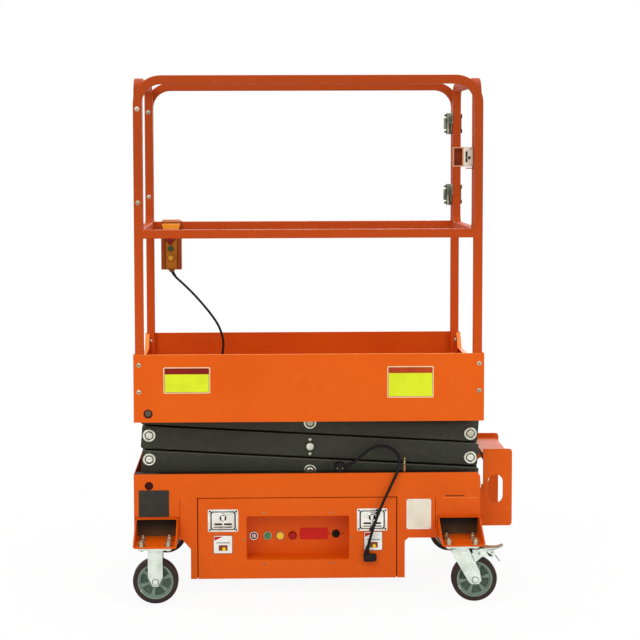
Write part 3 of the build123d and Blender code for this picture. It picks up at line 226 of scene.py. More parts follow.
def beam_shade_finish(name, dark, lit_brown, low, high):
    """Painted shade inside a beam, with painted light making it browner and lighter towards its floor."""
    dark, lit_brown = rgb(*dark), rgb(*lit_brown)
    finish, tree, shader, coords = start_finish(name, dark, 0.6, gloss_level=0.2)
    height = tree.nodes.new("ShaderNodeSeparateXYZ")
    tree.links.new(coords, height.inputs["Vector"])
    fade = spread(tree, height.outputs["Z"], 1.0, 0.0, low, high)
    dirt = spread(tree, noise(tree, coords, 30.0, 6.0), 0.0, 0.5, 0.45, 0.7)
    tree.links.new(mix(tree, dirt, mix(tree, fade, dark, lit_brown), dark), shader.inputs["Base Color"])
    bump(tree, shader, noise(tree, coords, 240.0, 4.0), 0.2, 0.0004)
    return finish


ORANGE = paint("orange_paint", (228, 95, 6), (218, 86, 5), (232, 118, 36))
# pale orange for the toe boards' top edges and the skirt beads: painted highlight
EDGE_HIGHLIGHT = paint("orange_paint_painted_highlight", (248, 150, 72), (244, 138, 58), (250, 172, 104))
# darker orange for the toe boards' inner faces: painted shade
BOARD_INSIDE_SHADE = paint("orange_paint_in_shade", (206, 82, 12), (196, 76, 11), (214, 104, 36))
# rails darker towards the top: painted shade
RAIL = paint(
    "rail_paint", (198, 73, 6), (168, 62, 5), (192, 86, 22), (0.46, 0.6), heights=(0.95, 1.5)
)
# darkened orange for the pendant holster, darker still for its sides and lips: painted shade
HOLSTER_SHADE = paint("holster_painted_shade", (164, 62, 20), (142, 52, 14), (186, 92, 50))
HOLSTER_SIDE_SHADE = paint("holster_side_painted_shade", (150, 64, 16), (132, 54, 12), (172, 88, 36))
SCISSOR = paint("scissor_paint", (60, 62, 52), (53, 55, 45), (92, 94, 82), (0.36, 0.54), 0.1)
# lighter arm paint for the rounded top edges: painted highlight
SCISSOR_HIGHLIGHT = paint("scissor_paint_painted_highlight", (104, 106, 94), (90, 92, 80), (126, 126, 114), (0.4, 0.56))
CYLINDER = paint("cylinder_paint", (30, 31, 32), (26, 27, 28), (60, 60, 58))
# near-black for sockets, slits, gaps, creases and latch channels: painted shade
DARK_SHADE = paint("dark_painted_shade", (30, 28, 24), (22, 21, 18), (52, 46, 38), (0.6, 0.8))
# darkened steel in the pins' ring grooves: painted shade
PIN_RECESS_SHADE = paint("pin_recess_painted_shade", (66, 66, 52), (50, 50, 40), (96, 94, 78), (0.4, 0.6))
# darkened pin steel for pin ends inside holes: painted shade
HOLE_PIN_SHADE = paint("pin_end_painted_shade", (98, 90, 74), (82, 74, 60), (120, 112, 96), (0.5, 0.7))
# dark brown for the lower tracks' tops: painted shade
TRACK_SHADE = paint("track_top_painted_shade", (38, 31, 26), (28, 23, 19), (66, 44, 30), (0.35, 0.6))
# near-black inside the cross beams, lighter near their floor: painted shade and painted light
BEAM_SHADE = beam_shade_finish("beam_inside_painted_shade", (38, 33, 28), (92, 70, 40), 0.205, 0.250)
# dark red for the insides of holes and for plate edges: painted shade
HOLE_SHADE = paint("hole_dark_painted_shade", (66, 14, 8), (54, 10, 6), (92, 34, 20), (0.5, 0.7))
ZINC = plated("zinc_plate", (230, 240, 230), (196, 210, 196), 0.38)
NUT = plated("zinc_nut", (196, 188, 160), (140, 130, 104), 0.4)
PEDAL = plated("pedal_steel", (190, 166, 134), (160, 138, 108), 0.52, metal=0.3)
TAB_STEEL = plated("brake_tab_steel", (150, 148, 142), (118, 116, 108), 0.45, metal=0.6)
CHROME = plated("chrome_plate", (246, 246, 238), (214, 212, 198), 0.15)
STEEL = plated("pin_steel", (224, 224, 210), (180, 180, 160), 0.30)
BOLT_STEEL = plated("bolt_steel", (206, 202, 178), (150, 146, 120), 0.36)
HINGE_STEEL = plated("hinge_steel", (150, 154, 134), (92, 96, 80), 0.42)
HINGE_DARK = plated("hinge_shadow_steel", (84, 84, 68), (56, 56, 44), 0.5)
BRASS = plated("brass", (176, 160, 104), (132, 116, 66), 0.3)
# coppery brass: painted reflection of the orange paint
BRASS_ORANGE_REFLECTION = plated("brass_painted_orange_reflection", (186, 126, 96), (132, 84, 60), 0.32)
RUBBER = moulded("tyre_rubber", (48, 38, 33), (60, 44, 40), 0.55)
RIM = moulded("rim_nylon", (130, 146, 134), (112, 128, 116), 0.4)
RIM_EDGE = moulded("rim_edge_nylon", (172, 186, 174), (150, 164, 152), 0.36)
# darker nylon for the pockets' floors: painted shade
POCKET_SHADE = moulded("rim_pocket_painted_shade", (88, 106, 92), (72, 90, 78), 0.55)
BLACK = moulded("black_plastic", (16, 16, 15), (26, 26, 25), 0.5)
CORD = moulded("cord_rubber", (6, 6, 5), (14, 14, 13), 0.5, 0.06)
BATTERY = moulded("battery_case", (38, 39, 42), (52, 52, 54), 0.5)
GREEN = moulded("green_button", (84, 150, 90), (70, 134, 78), 0.3, 0.02)
YELLOW = moulded("yellow_button", (253, 214, 44), (244, 202, 36), 0.3, 0.02)
RED = moulded("red_button", (190, 24, 16), (164, 20, 13), 0.3, 0.02)
BEZEL = plated("button_bezel", (206, 208, 190), (156, 158, 138), 0.28)
# dull gold for the pendant's body and button rims: yellow plastic with painted shade
PENDANT_SHADE = moulded("pendant_plastic_painted_shade", (176, 106, 20), (160, 92, 16), 0.42)
PENDANT_CAP = moulded("pendant_cap_plastic", (238, 152, 38), (222, 130, 28), 0.4)
PENDANT_GREEN = moulded("pendant_green_button", (30, 88, 52), (24, 74, 44), 0.34, 0.02)
PENDANT_AMBER = moulded("pendant_amber_button", (206, 150, 40), (190, 132, 32), 0.34, 0.02)
PENDANT_MARK = moulded("pendant_mark", (122, 26, 8), (108, 22, 7), 0.42)
GLAND = moulded("pendant_gland", (120, 88, 44), (84, 66, 36), 0.5)
SIGN_YELLOW = moulded("sign_yellow", (220, 232, 36), (210, 222, 30), 0.35, 0.02)
SIGN_RED = moulded("sign_red", (134, 20, 6), (120, 17, 6), 0.35, 0.02)
SIGN_RUST = moulded("sign_rust", (184, 66, 18), (166, 56, 14), 0.35, 0.02)
# pale orange for front rims and lips: painted highlight
RIM_HIGHLIGHT = paint("latch_rim_painted_highlight", (216, 150, 108), (200, 132, 90), (226, 176, 140))
SIGN_BORDER = moulded("sign_border", (238, 214, 170), (228, 202, 156), 0.4, 0.02)
# white for printed borders and blocks, and for the key barrel's painted highlight
WHITE_PRINT_AND_HIGHLIGHT = moulded("white_print_and_painted_highlight", (244, 244, 238), (232, 232, 226), 0.38, 0.02)
SIGN_DARK = moulded("sign_dark", (48, 46, 38), (56, 54, 46), 0.4, 0.02)
SIGN_BROWN = moulded("sign_brown", (140, 70, 40), (124, 60, 34), 0.4, 0.02)
SIGN_SCARLET = moulded("sign_scarlet", (206, 28, 8), (192, 26, 8), 0.35, 0.02)
SIGN_SILVER = moulded("sign_silver", (236, 230, 208), (222, 216, 194), 0.32, 0.02)


# ------------------------------------------------------------------ mesh helpers
def at(x, y, z):
    """Point in the part's frame from an X that counts from the platform's centre."""
    return Vector((PLATFORM_X + x, y, z))


def arm_pin(stage, along, y):
    """Place along a folded outer arm of a stage."""
    sine = STAGE_RISE / ARM_LENGTH
    x = LEFT_PIN_X + along * math.sqrt(1 - sine * sine)
    return at(x, y, LOWER_PIN_Z + stage * STAGE_RISE - along * sine)


def add_object(name, data):
    """New object in the scene."""
    thing = bpy.data.objects.new(name, data)
    bpy.context.scene.collection.objects.link(thing)
    return thing


def keep(name, bm, body, finishes, smooth_angle, recalc=True):
    """Turns a finished bmesh into a piece that rides on a body."""
    if recalc:
        bmesh.ops.remove_doubles(bm, verts=bm.verts, dist=1e-6)
        bmesh.ops.recalc_face_normals(bm, faces=bm.faces)
    mesh = bpy.data.meshes.new(name)
    bm.to_mesh(mesh)
    bm.free()
    for finish in finishes:
        mesh.materials.append(finish)
    mesh.polygons.foreach_set("use_smooth", [True] * len(mesh.polygons))
    mesh.set_sharp_from_angle(angle=math.radians(smooth_angle))
    piece = add_object(name, mesh)
    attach(piece, body)
    return piece


def new_faces(bm, before, material):
    """Gives a finish's number to the faces made since before."""
    for face in bm.faces:
        if face not in before:
            face.material_index = material


def turned(bm, profile, origin, axis, steps, material=0):
    """Spins a profile of (radius, height) pairs about an axis through origin."""
    axis = Vector(axis).normalized()
    side = axis.cross(Vector((0.31, 0.17, 0.94))).normalized()
    before = set(bm.faces)
    points = [bm.verts.new(Vector(origin) + side * radius + axis * height) for radius, height in profile]
    edges = [bm.edges.new(pair) for pair in zip(points, points[1:])]
    bmesh.ops.spin(
        bm, geom=points + edges, cent=origin, axis=axis, dvec=(0, 0, 0), angle=math.tau, steps=steps,
        use_merge=True,
    )
    new_faces(bm, before, material)


def disc(bm, radius, low, high, place, axis, steps=32, material=0):
    """Plain disc between two heights on its axis."""
    turned(bm, ((0, low), (radius, low), (radius, high), (0, high)), place, axis, steps, material)


def flat_ring(bm, inner, outer, high, place, axis, steps=32, material=0):
    """Flat ring that stands on its place."""
    profile = ((inner, 0), (outer, 0), (outer, high), (inner, high), (inner, 0))
    turned(bm, profile, place, axis, steps, material)


def slab(bm, corners, depth, corner_radius, material, edge=0.0):
    """Flat plate from its corner points, rounded at the corners and thickened along depth."""
    before = set(bm.faces)
    points = [bm.verts.new(corner) for corner in corners]
    bm.faces.new(points)
    if corner_radius:
        bmesh.ops.bevel(
            bm, geom=points, offset=corner_radius, segments=4, affect="VERTICES", profile=0.5, material=-1
        )
    grown = bmesh.ops.extrude_face_region(bm, geom=[face for face in bm.faces if face not in before])
    lifted = {item for item in grown["geom"] if isinstance(item, bmesh.types.BMVert)}
    bmesh.ops.translate(bm, vec=depth, verts=list(lifted))
    if edge:
        rim = [line for line in bm.edges if line.verts[0] in lifted and line.verts[1] in lifted]
        bmesh.ops.bevel(bm, geom=rim, offset=edge, segments=2, affect="EDGES", profile=0.5, material=-1)
    new_faces(bm, before, material)


def upright(x0, z0, x1, z1):
    """Corners of an upright rectangle."""
    return (x0, z0), (x1, z0), (x1, z1), (x0, z1)


def front_plate(bm, x0, z0, x1, z1, y, thick, corner_radius, material=0, edge=0.0):
    """Plate that faces the control side, its back at y."""
    corners = [at(x, y, z) for x, z in upright(x0, z0, x1, z1)]
    slab(bm, corners, TO_FRONT * thick, corner_radius, material, edge)


def side_plate(bm, corners, side, y, thick, material=0, edge=0.0):
    """Plate from its (x, z) corners that faces outwards on one side, its back at y."""
    slab(bm, [at(x, side * y, z) for x, z in corners], Vector((0, side * thick, 0)), 0.0, material, edge)


def rounded_profile(radius, thick, edge):
    """Profile of a disc with a rounded outer edge."""
    rounding = ((radius, thick - edge), (radius - edge * 0.3, thick - edge * 0.3), (radius - edge, thick))
    return ((0.0, 0.0), (radius, 0.0), *rounding, (0.0, thick))


def dress(
    node, rounding, finishes, rolls=(), segments=2, sharp=None, pick=None, turn=None, reshape=None
):
    """Copy of a node with rolled edges, standing for it.

    rolls are pairs of a test for edges and the wider rounding that they get, sharp tells which edges stay
    unrolled, pick gives the number of a face's finish, turn is a matrix for the copy, and reshape changes its
    points.
    """
    bm = bmesh.new()
    bm.from_mesh(NODES[node].data)
    bmesh.ops.remove_doubles(bm, verts=bm.verts, dist=2e-6)
    bmesh.ops.dissolve_limit(bm, angle_limit=math.radians(0.8), verts=bm.verts, edges=bm.edges)
    if turn:
        bmesh.ops.transform(bm, matrix=turn, verts=bm.verts)
    if reshape:
        reshape(bm)
    for chosen, offset in rolls:
        lines = [line for line in bm.edges if line.calc_face_angle(0.0) > math.radians(40) and chosen(line)]
        bmesh.ops.bevel(
            bm, geom=lines, offset=offset, segments=4, affect="EDGES", profile=0.5, material=-1,
            clamp_overlap=True,
        )
    for face in bm.faces:
        face.material_index = pick(face.calc_center_median(), face.normal) if pick else 0
    weight = bm.edges.layers.float.new("bevel_weight_edge")
    for line in bm.edges:
        rolled = line.calc_face_angle(0.0) > math.radians(40)
        line[weight] = 1.0 if rolled and not (sharp and sharp(line)) else 0.0
    piece = keep(node + "_dressed", bm, NODES[node]["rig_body"], finishes, 50.0, recalc=False)
    rolled = piece.modifiers.new("rolled_edges", "BEVEL")
    rolled.width = rounding
    rolled.segments = segments
    rolled.limit_method = "WEIGHT"
    rolled.harden_normals = True
    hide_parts(node)
    return piece


# ------------------------------------------------------------------ cords
def smooth_cord(name, route, radius):
    """Cord that follows its route on one smooth curve."""
    curve = bpy.data.curves.new(name, "CURVE")
    curve.dimensions = "3D"
    spline = curve.splines.new("NURBS")
    spline.points.add(len(route) - 1)
    for point, place in zip(spline.points, route):
        point.co = (*at(*place), 1.0)
    spline.order_u = 3
    spline.use_endpoint_u = True
    curve.resolution_u = 10
    curve.bevel_depth = radius
    curve.bevel_resolution = 5
    curve.use_fill_caps = True
    curve.materials.append(CORD)
    return add_object(name, curve)


# routes' points, in order from the object
LEAD_ROUTE = (
    (0.2003, -0.2800, 0.1450), (0.2178, -0.2840, 0.2220), (0.2548, -0.2880, 0.3240),
    (0.2868, -0.2860, 0.3890), (0.3140, -0.2730, 0.4440), (0.3220, -0.2560, 0.4800),
    (0.3020, -0.2410, 0.5100), (0.2594, -0.2330, 0.5245), (0.2220, -0.2310, 0.5134),
    (0.1842, -0.2340, 0.4840), (0.1520, -0.2440, 0.4590), (0.1315, -0.2495, 0.4520),
)
PENDANT_ROUTE = (
    (-0.5010, 0.2744, 1.1080), (-0.4925, 0.2744, 1.0850), (-0.4585, 0.2715, 1.0560),
    (-0.4069, 0.2680, 1.0044), (-0.3577, 0.2620, 0.9464), (-0.3282, 0.2580, 0.9051),
    (-0.3112, 0.2540, 0.8666), (-0.3039, 0.2500, 0.8281), (-0.3095, 0.2470, 0.7894),
    (-0.3130, 0.2460, 0.7520), (-0.3130, 0.2460, 0.7085),
)
LEAD_RADIUS = 0.0050
PENDANT_CORD_RADIUS = 0.0045
mains_lead = smooth_cord("mains_lead_cord", LEAD_ROUTE, LEAD_RADIUS)
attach(mains_lead, "drawer")
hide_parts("mains_lead")
pendant_lead = smooth_cord("pendant_cord_cable", PENDANT_ROUTE, PENDANT_CORD_RADIUS)
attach(pendant_lead, "platform")
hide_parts("pendant_cord")


BOOT_COLLAR = 0.002             # thickness of the flat collar at a boot's root
BOOT_RIBS = 6


def boot(name, route, begin, length, wide, narrow, body):
    """Tapered, ribbed rubber boot, bent with the cord's first stretch.

    begin is how far along the cord it starts.
    """
    first, second, third = (at(*place) for place in route[:3])
    last = (second + third) / 2
    shares = [step / 80 for step in range(81)]
    bend = [first * (1 - s) ** 2 + second * (2 * s * (1 - s)) + last * s ** 2 for s in shares]
    bm = bmesh.new()

    def ring(radius, along):
        """Edges of a circle round the cord."""
        left = begin + along
        for near, far in zip(bend, bend[1:]):
            if left <= (far - near).length:
                break
            left -= (far - near).length
        axis = (far - near).normalized()
        across = axis.cross(Vector((0, 1, 0))).normalized()
        turn = Matrix((across.cross(axis), across, axis)).transposed().to_4x4()
        place = Matrix.Translation(near + axis * left) @ turn
        before = set(bm.edges)
        bmesh.ops.create_circle(bm, cap_ends=False, segments=20, radius=radius, matrix=place)
        return [line for line in bm.edges if line not in before]

    rings = [ring(wide * 1.12, -0.001), ring(wide * 1.12, BOOT_COLLAR)]
    rise = (length - BOOT_COLLAR - 0.001) / BOOT_RIBS
    for rib in range(BOOT_RIBS):
        radius = wide + (narrow - wide) * rib / BOOT_RIBS
        base = BOOT_COLLAR + 0.001 + rise * rib
        rings += [ring(radius, base), ring(radius, base + rise * 0.55), ring(radius * 0.9, base + rise * 0.7)]
    rings.append(ring(narrow * 0.9, length))
    for low, high in zip(rings, rings[1:]):
        bmesh.ops.bridge_loops(bm, edges=low + high)
    bmesh.ops.holes_fill(bm, edges=rings[0] + rings[-1], sides=0)
    return keep(name, bm, body, [CORD], 40.0)


# ------------------------------------------------------------------ sheet metal, tubes and arms
def on_line(line, height):
    """Whether an edge lies on either side's outer face at a height."""
    ends = [point.co for point in line.verts]
    return all(abs(end.z - height) < SAME and abs(abs(end.y) - SKIRT_Y) < SAME for end in ends)


def at_joint(line):
    """Edges on the seam between the skirt and the tracks, which are one sheet."""
    return on_line(line, SEAM_Z)


def long_edge(line):
    """Edges that run along an arm."""
    return line.calc_length() > 0.4


def track_shoulder(line):
    """Outer top edges of the lower tracks."""
    return on_line(line, TRACK_TOP_Z)


def beam_part(middle, normal):
    """The web, the underside of the roof and the roof's edge, which get painted shade."""
    web = abs(normal.y) > 0.9 and abs(abs(middle.y) - BEAM_WEB_Y) < 1e-3
    roof = middle.z > BEAM_ROOF_Z - 0.0015 and (normal.z < -0.5 or abs(normal.y) > 0.6)
    return 1 if web or roof else 0


def board_top_edge(line):
    """Long top edges of the toe boards."""
    return line.calc_length() > 0.3 and all(point.co.z > BOARD_TOP_Z - 0.0005 for point in line.verts)


def arm_top_highlight(middle, normal):
    """The rounded top edges of an arm, which get a painted highlight."""
    return 1 if normal.z > 0.3 and abs(normal.y) > 0.3 else 0


def board_part(middle, normal):
    """Top edges of the boards, which get a painted highlight, and their inner faces, which get painted shade.
    """
    if normal.z > 0.3:
        return 1
    inner = abs(middle.y) < BOARD_Y - 0.0025 and abs(normal.y) > 0.9 and normal.y * middle.y < 0
    return 2 if inner else 0


def pin_plate(middle, normal):
    """The retaining plates at the middle pins, in the arms' colour."""
    on_arm = ARM_FACE_Y < abs(middle.y) < ARM_FACE_Y + 0.0022
    return 1 if on_arm and abs(middle.x - PLATFORM_X) < 0.05 else 0


def track_top(middle, normal):
    """Top of the lower tracks, short of their outer shoulders, which gets painted shade."""
    on_top = normal.z > 0.9 and abs(middle.z - TRACK_TOP_Z) < 1e-3
    return 1 if on_top and abs(middle.y) < SKIRT_Y - 0.002 else 0


def holster_lip(middle, normal):
    """The holster's sides and lips, with a deeper painted shade than its back."""
    return 1 if middle.y < HOLSTER_BACK_Y - 0.0039 and middle.z < 1.262 else 0


for node, rounding in (
    ("chassis_frame", 0.0012), ("drop_box_walls", 0.0010), ("push_handle", 0.0012), ("drawer_front", 0.0012),
    ("drawer_tray", 0.0010), ("deck", 0.0008), ("platform_tracks", 0.0015),
):
    dress(node, rounding, [ORANGE], sharp=at_joint)
dress(
    "track_channels", 0.0012, [ORANGE, TRACK_SHADE], [(track_shoulder, 0.0042)], sharp=at_joint,
    pick=track_top,
)
dress("cross_beams", 0.0014, [ORANGE, BEAM_SHADE], pick=beam_part)
dress("toe_boards", 0.0010, [ORANGE, EDGE_HIGHLIGHT, BOARD_INSIDE_SHADE], [(board_top_edge, 0.0018)],
      pick=board_part)
for node in ("guard_near", "guard_far", "end_loop", "gate_frame"):
    dress(node, 0.0035, [RAIL], segments=3)
dress("pendant_holster", 0.0007, [HOLSTER_SHADE, HOLSTER_SIDE_SHADE], pick=holster_lip)
for stage in (1, 2, 3):
    for kind in ("outer", "inner"):
        dress(
            f"{kind}_arms_{stage}", 0.0015, [SCISSOR, SCISSOR_HIGHLIGHT], [(long_edge, 0.0042)],
            pick=arm_top_highlight,
        )
    dress(f"pins_{stage}", 0.0006, [STEEL, SCISSOR], pick=pin_plate)
dress("upper_rollers", 0.0012, [STEEL])
dress("cylinder_barrel", 0.0015, [CYLINDER])
dress("cylinder_rod", 0.0010, [CHROME])
dress("fixed_forks", 0.0010, [ZINC])
dress("swivel_plates", 0.0010, [ZINC])
dress("power_pack", 0.0050, [BATTERY], segments=3)
dress("gate_hinges", 0.0010, [HINGE_STEEL])
dress("hinge_posts", 0.0010, [HINGE_STEEL])
dress("pendant", 0.0030, [PENDANT_SHADE], segments=3)


def brake_part(middle, normal):
    """Pedal plate and release tab of the brake."""
    reach = middle.x - KING_PIN_X
    if reach > 0.108 and middle.z < 0.1885 and abs(abs(middle.y) - WHEEL_Y) < 0.0085:
        return 2
    return 1 if middle.z > 0.1795 and reach > 0.058 else 0


def narrow_pedal(bm):
    """Draws the pedal's free end in towards the fork's middle."""
    for point in bm.verts:
        if point.co.x - KING_PIN_X > 0.120 and point.co.z > 0.180:
            middle = math.copysign(WHEEL_Y, point.co.y)
            point.co.y = middle + (point.co.y - middle) * 0.45


for side in ("near", "far"):
    dress(
        f"swivel_fork_{side}", 0.0008, [ZINC, PEDAL, TAB_STEEL], pick=brake_part, reshape=narrow_pedal
    )

# ------------------------------------------------------------------ wheels
# half a tyre's section, from its tread's middle to its bead: (radius, distance from the wheel's middle)
TYRE_HALF = (
    (0.0781, 0.0044), (0.0785, 0.0052), (0.0785, 0.0130), (0.0779, 0.0165), (0.0766, 0.0192),
    (0.0742, 0.0213), (0.0700, 0.0225), (0.0642, 0.0225), (0.0622, 0.0215),
)
TYRE_MIRRORED = [(radius, -across) for radius, across in reversed(TYRE_HALF)]
TYRE_PROFILE = (*TYRE_MIRRORED, *TYRE_HALF, TYRE_MIRRORED[0])
for kind, wheel_x, spoke_angle in (("fixed", FIXED_X, -11.0), ("swivel", SWIVEL_X + TRAIL, -20.0)):
    for side_name, side in (("near", -1), ("far", 1)):
        centre = at(wheel_x, side * WHEEL_Y, WHEEL_RADIUS)
        bm = bmesh.new()
        turned(bm, TYRE_PROFILE, centre, (0, 1, 0), 96)
        wheel = f"wheel_{kind}_{side_name}"
        tyre = keep(f"tyre_{kind}_{side_name}_moulded", bm, wheel, [RUBBER], 50.0)
        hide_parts(f"tyre_{kind}_{side_name}")

        def rim_part(middle, normal, centre=centre):
            """Floors of the rim's pockets, which get painted shade, and the face of its outer ring."""
            away = middle - centre
            if abs(normal.y) > 0.9 and 0.003 < abs(away.y) < 0.0055 and away.length < 0.056:
                return 1
            return 2 if abs(away.y) > 0.0185 and away.length > 0.0575 else 0

        def pocket_corner(line, centre=centre):
            """Upright edges at the corners of the rim's pockets."""
            away = (line.verts[0].co + line.verts[1].co) / 2 - centre
            radius = math.hypot(away.x, away.z)
            along = abs((line.verts[0].co - line.verts[1].co).y)
            return along > 0.003 and 0.0175 < radius < 0.0574

        spokes = (
            Matrix.Translation(centre) @ Matrix.Rotation(math.radians(-spoke_angle), 4, "Y")
            @ Matrix.Translation(-centre)
        )
        dress(
            f"rim_{kind}_{side_name}", 0.0012, [RIM, POCKET_SHADE, RIM_EDGE],
            [(pocket_corner, 0.0050)], pick=rim_part, turn=spokes,
        )

# creases, rivets and weld marks on the swivel forks; the dark strips are painted shade along the creases and
# in the gap between leg and cheek
for side_name, side in (("near", -1), ("far", 1)):
    bm = bmesh.new()
    outward = (0, side, 0)
    for thick, material, corners in (
        (0.0006, 1, ((0.5620, 0.1876), (0.6010, 0.1876), (0.6010, 0.1930), (0.5620, 0.1930))),
        (0.0004, 0, ((0.5485, 0.1900), (0.5590, 0.1900), (0.5625, 0.1730), (0.5560, 0.1712))),
        (0.0004, 1, ((0.5560, 0.1712), (0.5580, 0.1720), (0.5690, 0.1440), (0.5678, 0.1425))),
        (0.0004, 0, (
            (0.6120, 0.1690), (0.6170, 0.1725), (0.6300, 0.1640), (0.6280, 0.1600), (0.6200, 0.1615),
        )),
    ):
        side_plate(bm, corners, side, FORK_FACE_Y, thick, material)
    for x, z, radius in ((0.5845, 0.1712, 0.0040), (0.6127, 0.1745, 0.0034), (0.6275, 0.1745, 0.0034)):
        place = at(x, side * FORK_FACE_Y, z)
        turned(bm, rounded_profile(radius, 0.0018, 0.0006), place, outward, 20, 1)
        turned(bm, rounded_profile(radius * 0.5, 0.0022, 0.0004), place, outward, 16, 2)
    for x, z, radius in ((0.5567, 0.1362, 0.0042), (0.5620, 0.1210, 0.0020)):
        flat_ring(bm, radius * 0.7, radius, 0.0005, at(x, side * FORK_FACE_Y, z), outward, 20, 2)
    marks = [DARK_SHADE, HINGE_DARK, BOLT_STEEL]
    keep(f"swivel_fork_marks_{side_name}", bm, f"swivel_{side_name}", marks, 40.0)

# dark rings round the axle nuts: painted shade of the nut recesses
for side_name, side in (("near", -1), ("far", 1)):
    for kind, wheel_x, body in (
        ("fixed", FIXED_X, "chassis"), ("swivel", SWIVEL_X + TRAIL, f"swivel_{side_name}"),
    ):
        bm = bmesh.new()
        flat_ring(bm, 0.0100, 0.0118, 0.0006, at(wheel_x, side * FORK_FACE_Y, WHEEL_RADIUS), (0, side, 0))
        keep(f"axle_nut_shade_ring_{kind}_{side_name}", bm, body, [HINGE_DARK], 40.0)

# ------------------------------------------------------------------ bolts
WASHER = 0.0016                 # thickness of the nuts' washers
# radii and heights as shares of the head's own
BUTTON_HEAD = (
    (0.0, 1.0), (0.34, 0.97), (0.62, 0.80), (0.80, 0.48), (0.86, 0.18), (1.0, 0.16), (1.0, 0.0), (0.0, 0.0),
)


def pan_head(bm, point, axis, radius, height, material=0, steps=16):
    """Low round head of a screw or rivet."""
    turned(bm, [(r * radius, h * height) for r, h in BUTTON_HEAD], point, axis, steps, material)


def button_heads(name, body, places, radius, height, finish=BOLT_STEEL):
    """Round-headed bolts on washers: each place is a point and the direction that its head faces."""
    bm = bmesh.new()
    for point, axis in places:
        pan_head(bm, point, axis, radius, height, steps=20)
        rim = height * 1.02
        # dark disc in the head's socket: painted shade
        socket = ((0, height * 0.7), (radius * 0.3, height * 0.75), (radius * 0.34, rim), (0, rim))
        turned(bm, socket, point, axis, 6, 1)
    return keep(name, bm, body, [finish, DARK_SHADE], 50.0)


def hex_nut(bm, point, axis, across, height, washer, shank):
    """Hexagon nut on a washer, with the bolt's threaded end beyond it."""
    radius = across / 2 / math.cos(math.pi / 6)
    turned(bm, rounded_profile(washer, WASHER, 0.0004), point, axis, 20)
    nut = ((0, height), (radius * 0.9, height), (radius, height * 0.93), (radius, WASHER), (0, WASHER))
    turned(bm, nut, point, axis, 6)
    thread = across * 0.28
    end = ((0, shank), (across * 0.24, shank), (thread, shank - 0.001), (thread, height), (0, height))
    turned(bm, end, point, axis, 14)


# the guards' bolts: through the toe boards, inside the posts, and through the end loop
LOOP_BOLT_X = -0.5845
guard_places = []
for side in (-1, 1):
    outward = (0, side, 0)
    inward = (0, -side, 0)
    for x in (-0.5863, 0.5877):
        for z in (0.8254, 0.7317):
            guard_places.append((at(x, side * BOARD_Y, z), outward))
        guard_places.append((at(x, side * POST_FACE_Y, 0.8320), inward))
    for z in (1.7025, 1.3834):
        guard_places.append((at(LOOP_BOLT_X, side * 0.3267, z), outward))
        guard_places.append((at(LOOP_BOLT_X, side * 0.2664, z + 0.003), inward))
button_heads("guard_bolts", "platform", guard_places, 0.0080, 0.0042)

# the casters' bolts, up through the beams' floors
BEAM_FLOOR_TOP_Z = 0.2053
bm = bmesh.new()
heads = []
for side in (-1, 1):
    for beam_x in (FIXED_X, SWIVEL_X):
        for dx in (-0.046, 0.046):
            for dy in (-0.0365, 0.0365):
                place = at(beam_x + dx, side * (WHEEL_Y + dy), BEAM_FLOOR_TOP_Z)
                hex_nut(bm, place, UP, 0.0195, 0.015, 0.0115, 0.022)
                heads.append((place - UP * 0.0115, -UP))
keep("caster_nuts", bm, "chassis", [NUT], 32.0)
button_heads("caster_bolt_heads", "chassis", heads, 0.0095, 0.006, ZINC)

# rings and discs on the scissor's pins: radii, and heights from an outer arm's face
PIN_RING = (
    (0.0158, 0.0030), (0.0158, 0.0054), (0.0167, 0.0060), (0.0214, 0.0060), (0.0224, 0.0053),
    (0.0226, 0.0030), (0.0158, 0.0030),
)
PIN_DISH = ((0, 0.0030), (0.0161, 0.0030), (0.0161, 0.0047), (0, 0.0047))
PIN_DISC = (
    (0, 0.0045), (0.0120, 0.0045), (0.0119, 0.0051), (0.0110, 0.0056), (0.0020, 0.0056), (0.0010, 0.0050),
    (0, 0.0050),
)
WIDE_DISH = ((0, 0.0030), (0.0180, 0.0030), (0.0185, 0.0040), (0.0180, 0.0047), (0, 0.0047))
WIDE_DISC = [(radius * 1.05, height) for radius, height in PIN_DISC]
# shafts' places as shares of an arm's length
for stage, shafts in ((1, (0.0, 0.5)), (2, (0.0, 0.5, 1.0)), (3, (0.5, 1.0))):
    bm = bmesh.new()
    for share in shafts:
        for side in (-1, 1):
            outward = (0, side, 0)
            end = arm_pin(stage, ARM_LENGTH * share, side * ARM_FACE_Y)
            retained = stage == 2 and share == 0.5
            if not retained:
                turned(bm, PIN_RING, end, outward, 40, 0)
            # the dish under the ring or disc carries the painted shade
            turned(bm, WIDE_DISH if retained else PIN_DISH, end, outward, 40, 1)
            disc_finish = 2 if stage != 2 or retained else 0
            turned(bm, WIDE_DISC if retained else PIN_DISC, end, outward, 32, disc_finish)
            if retained:
                for dz in (-0.0255, 0.0255):
                    pan_head(bm, end + Vector((0, side * 0.0018, dz)), outward, 0.0055, 0.0034, 2)
    cap_finishes = [STEEL, PIN_RECESS_SHADE, BOLT_STEEL if stage == 3 else STEEL]
    keep(f"pin_caps_{stage}", bm, f"outer_{stage}", cap_finishes, 50.0)

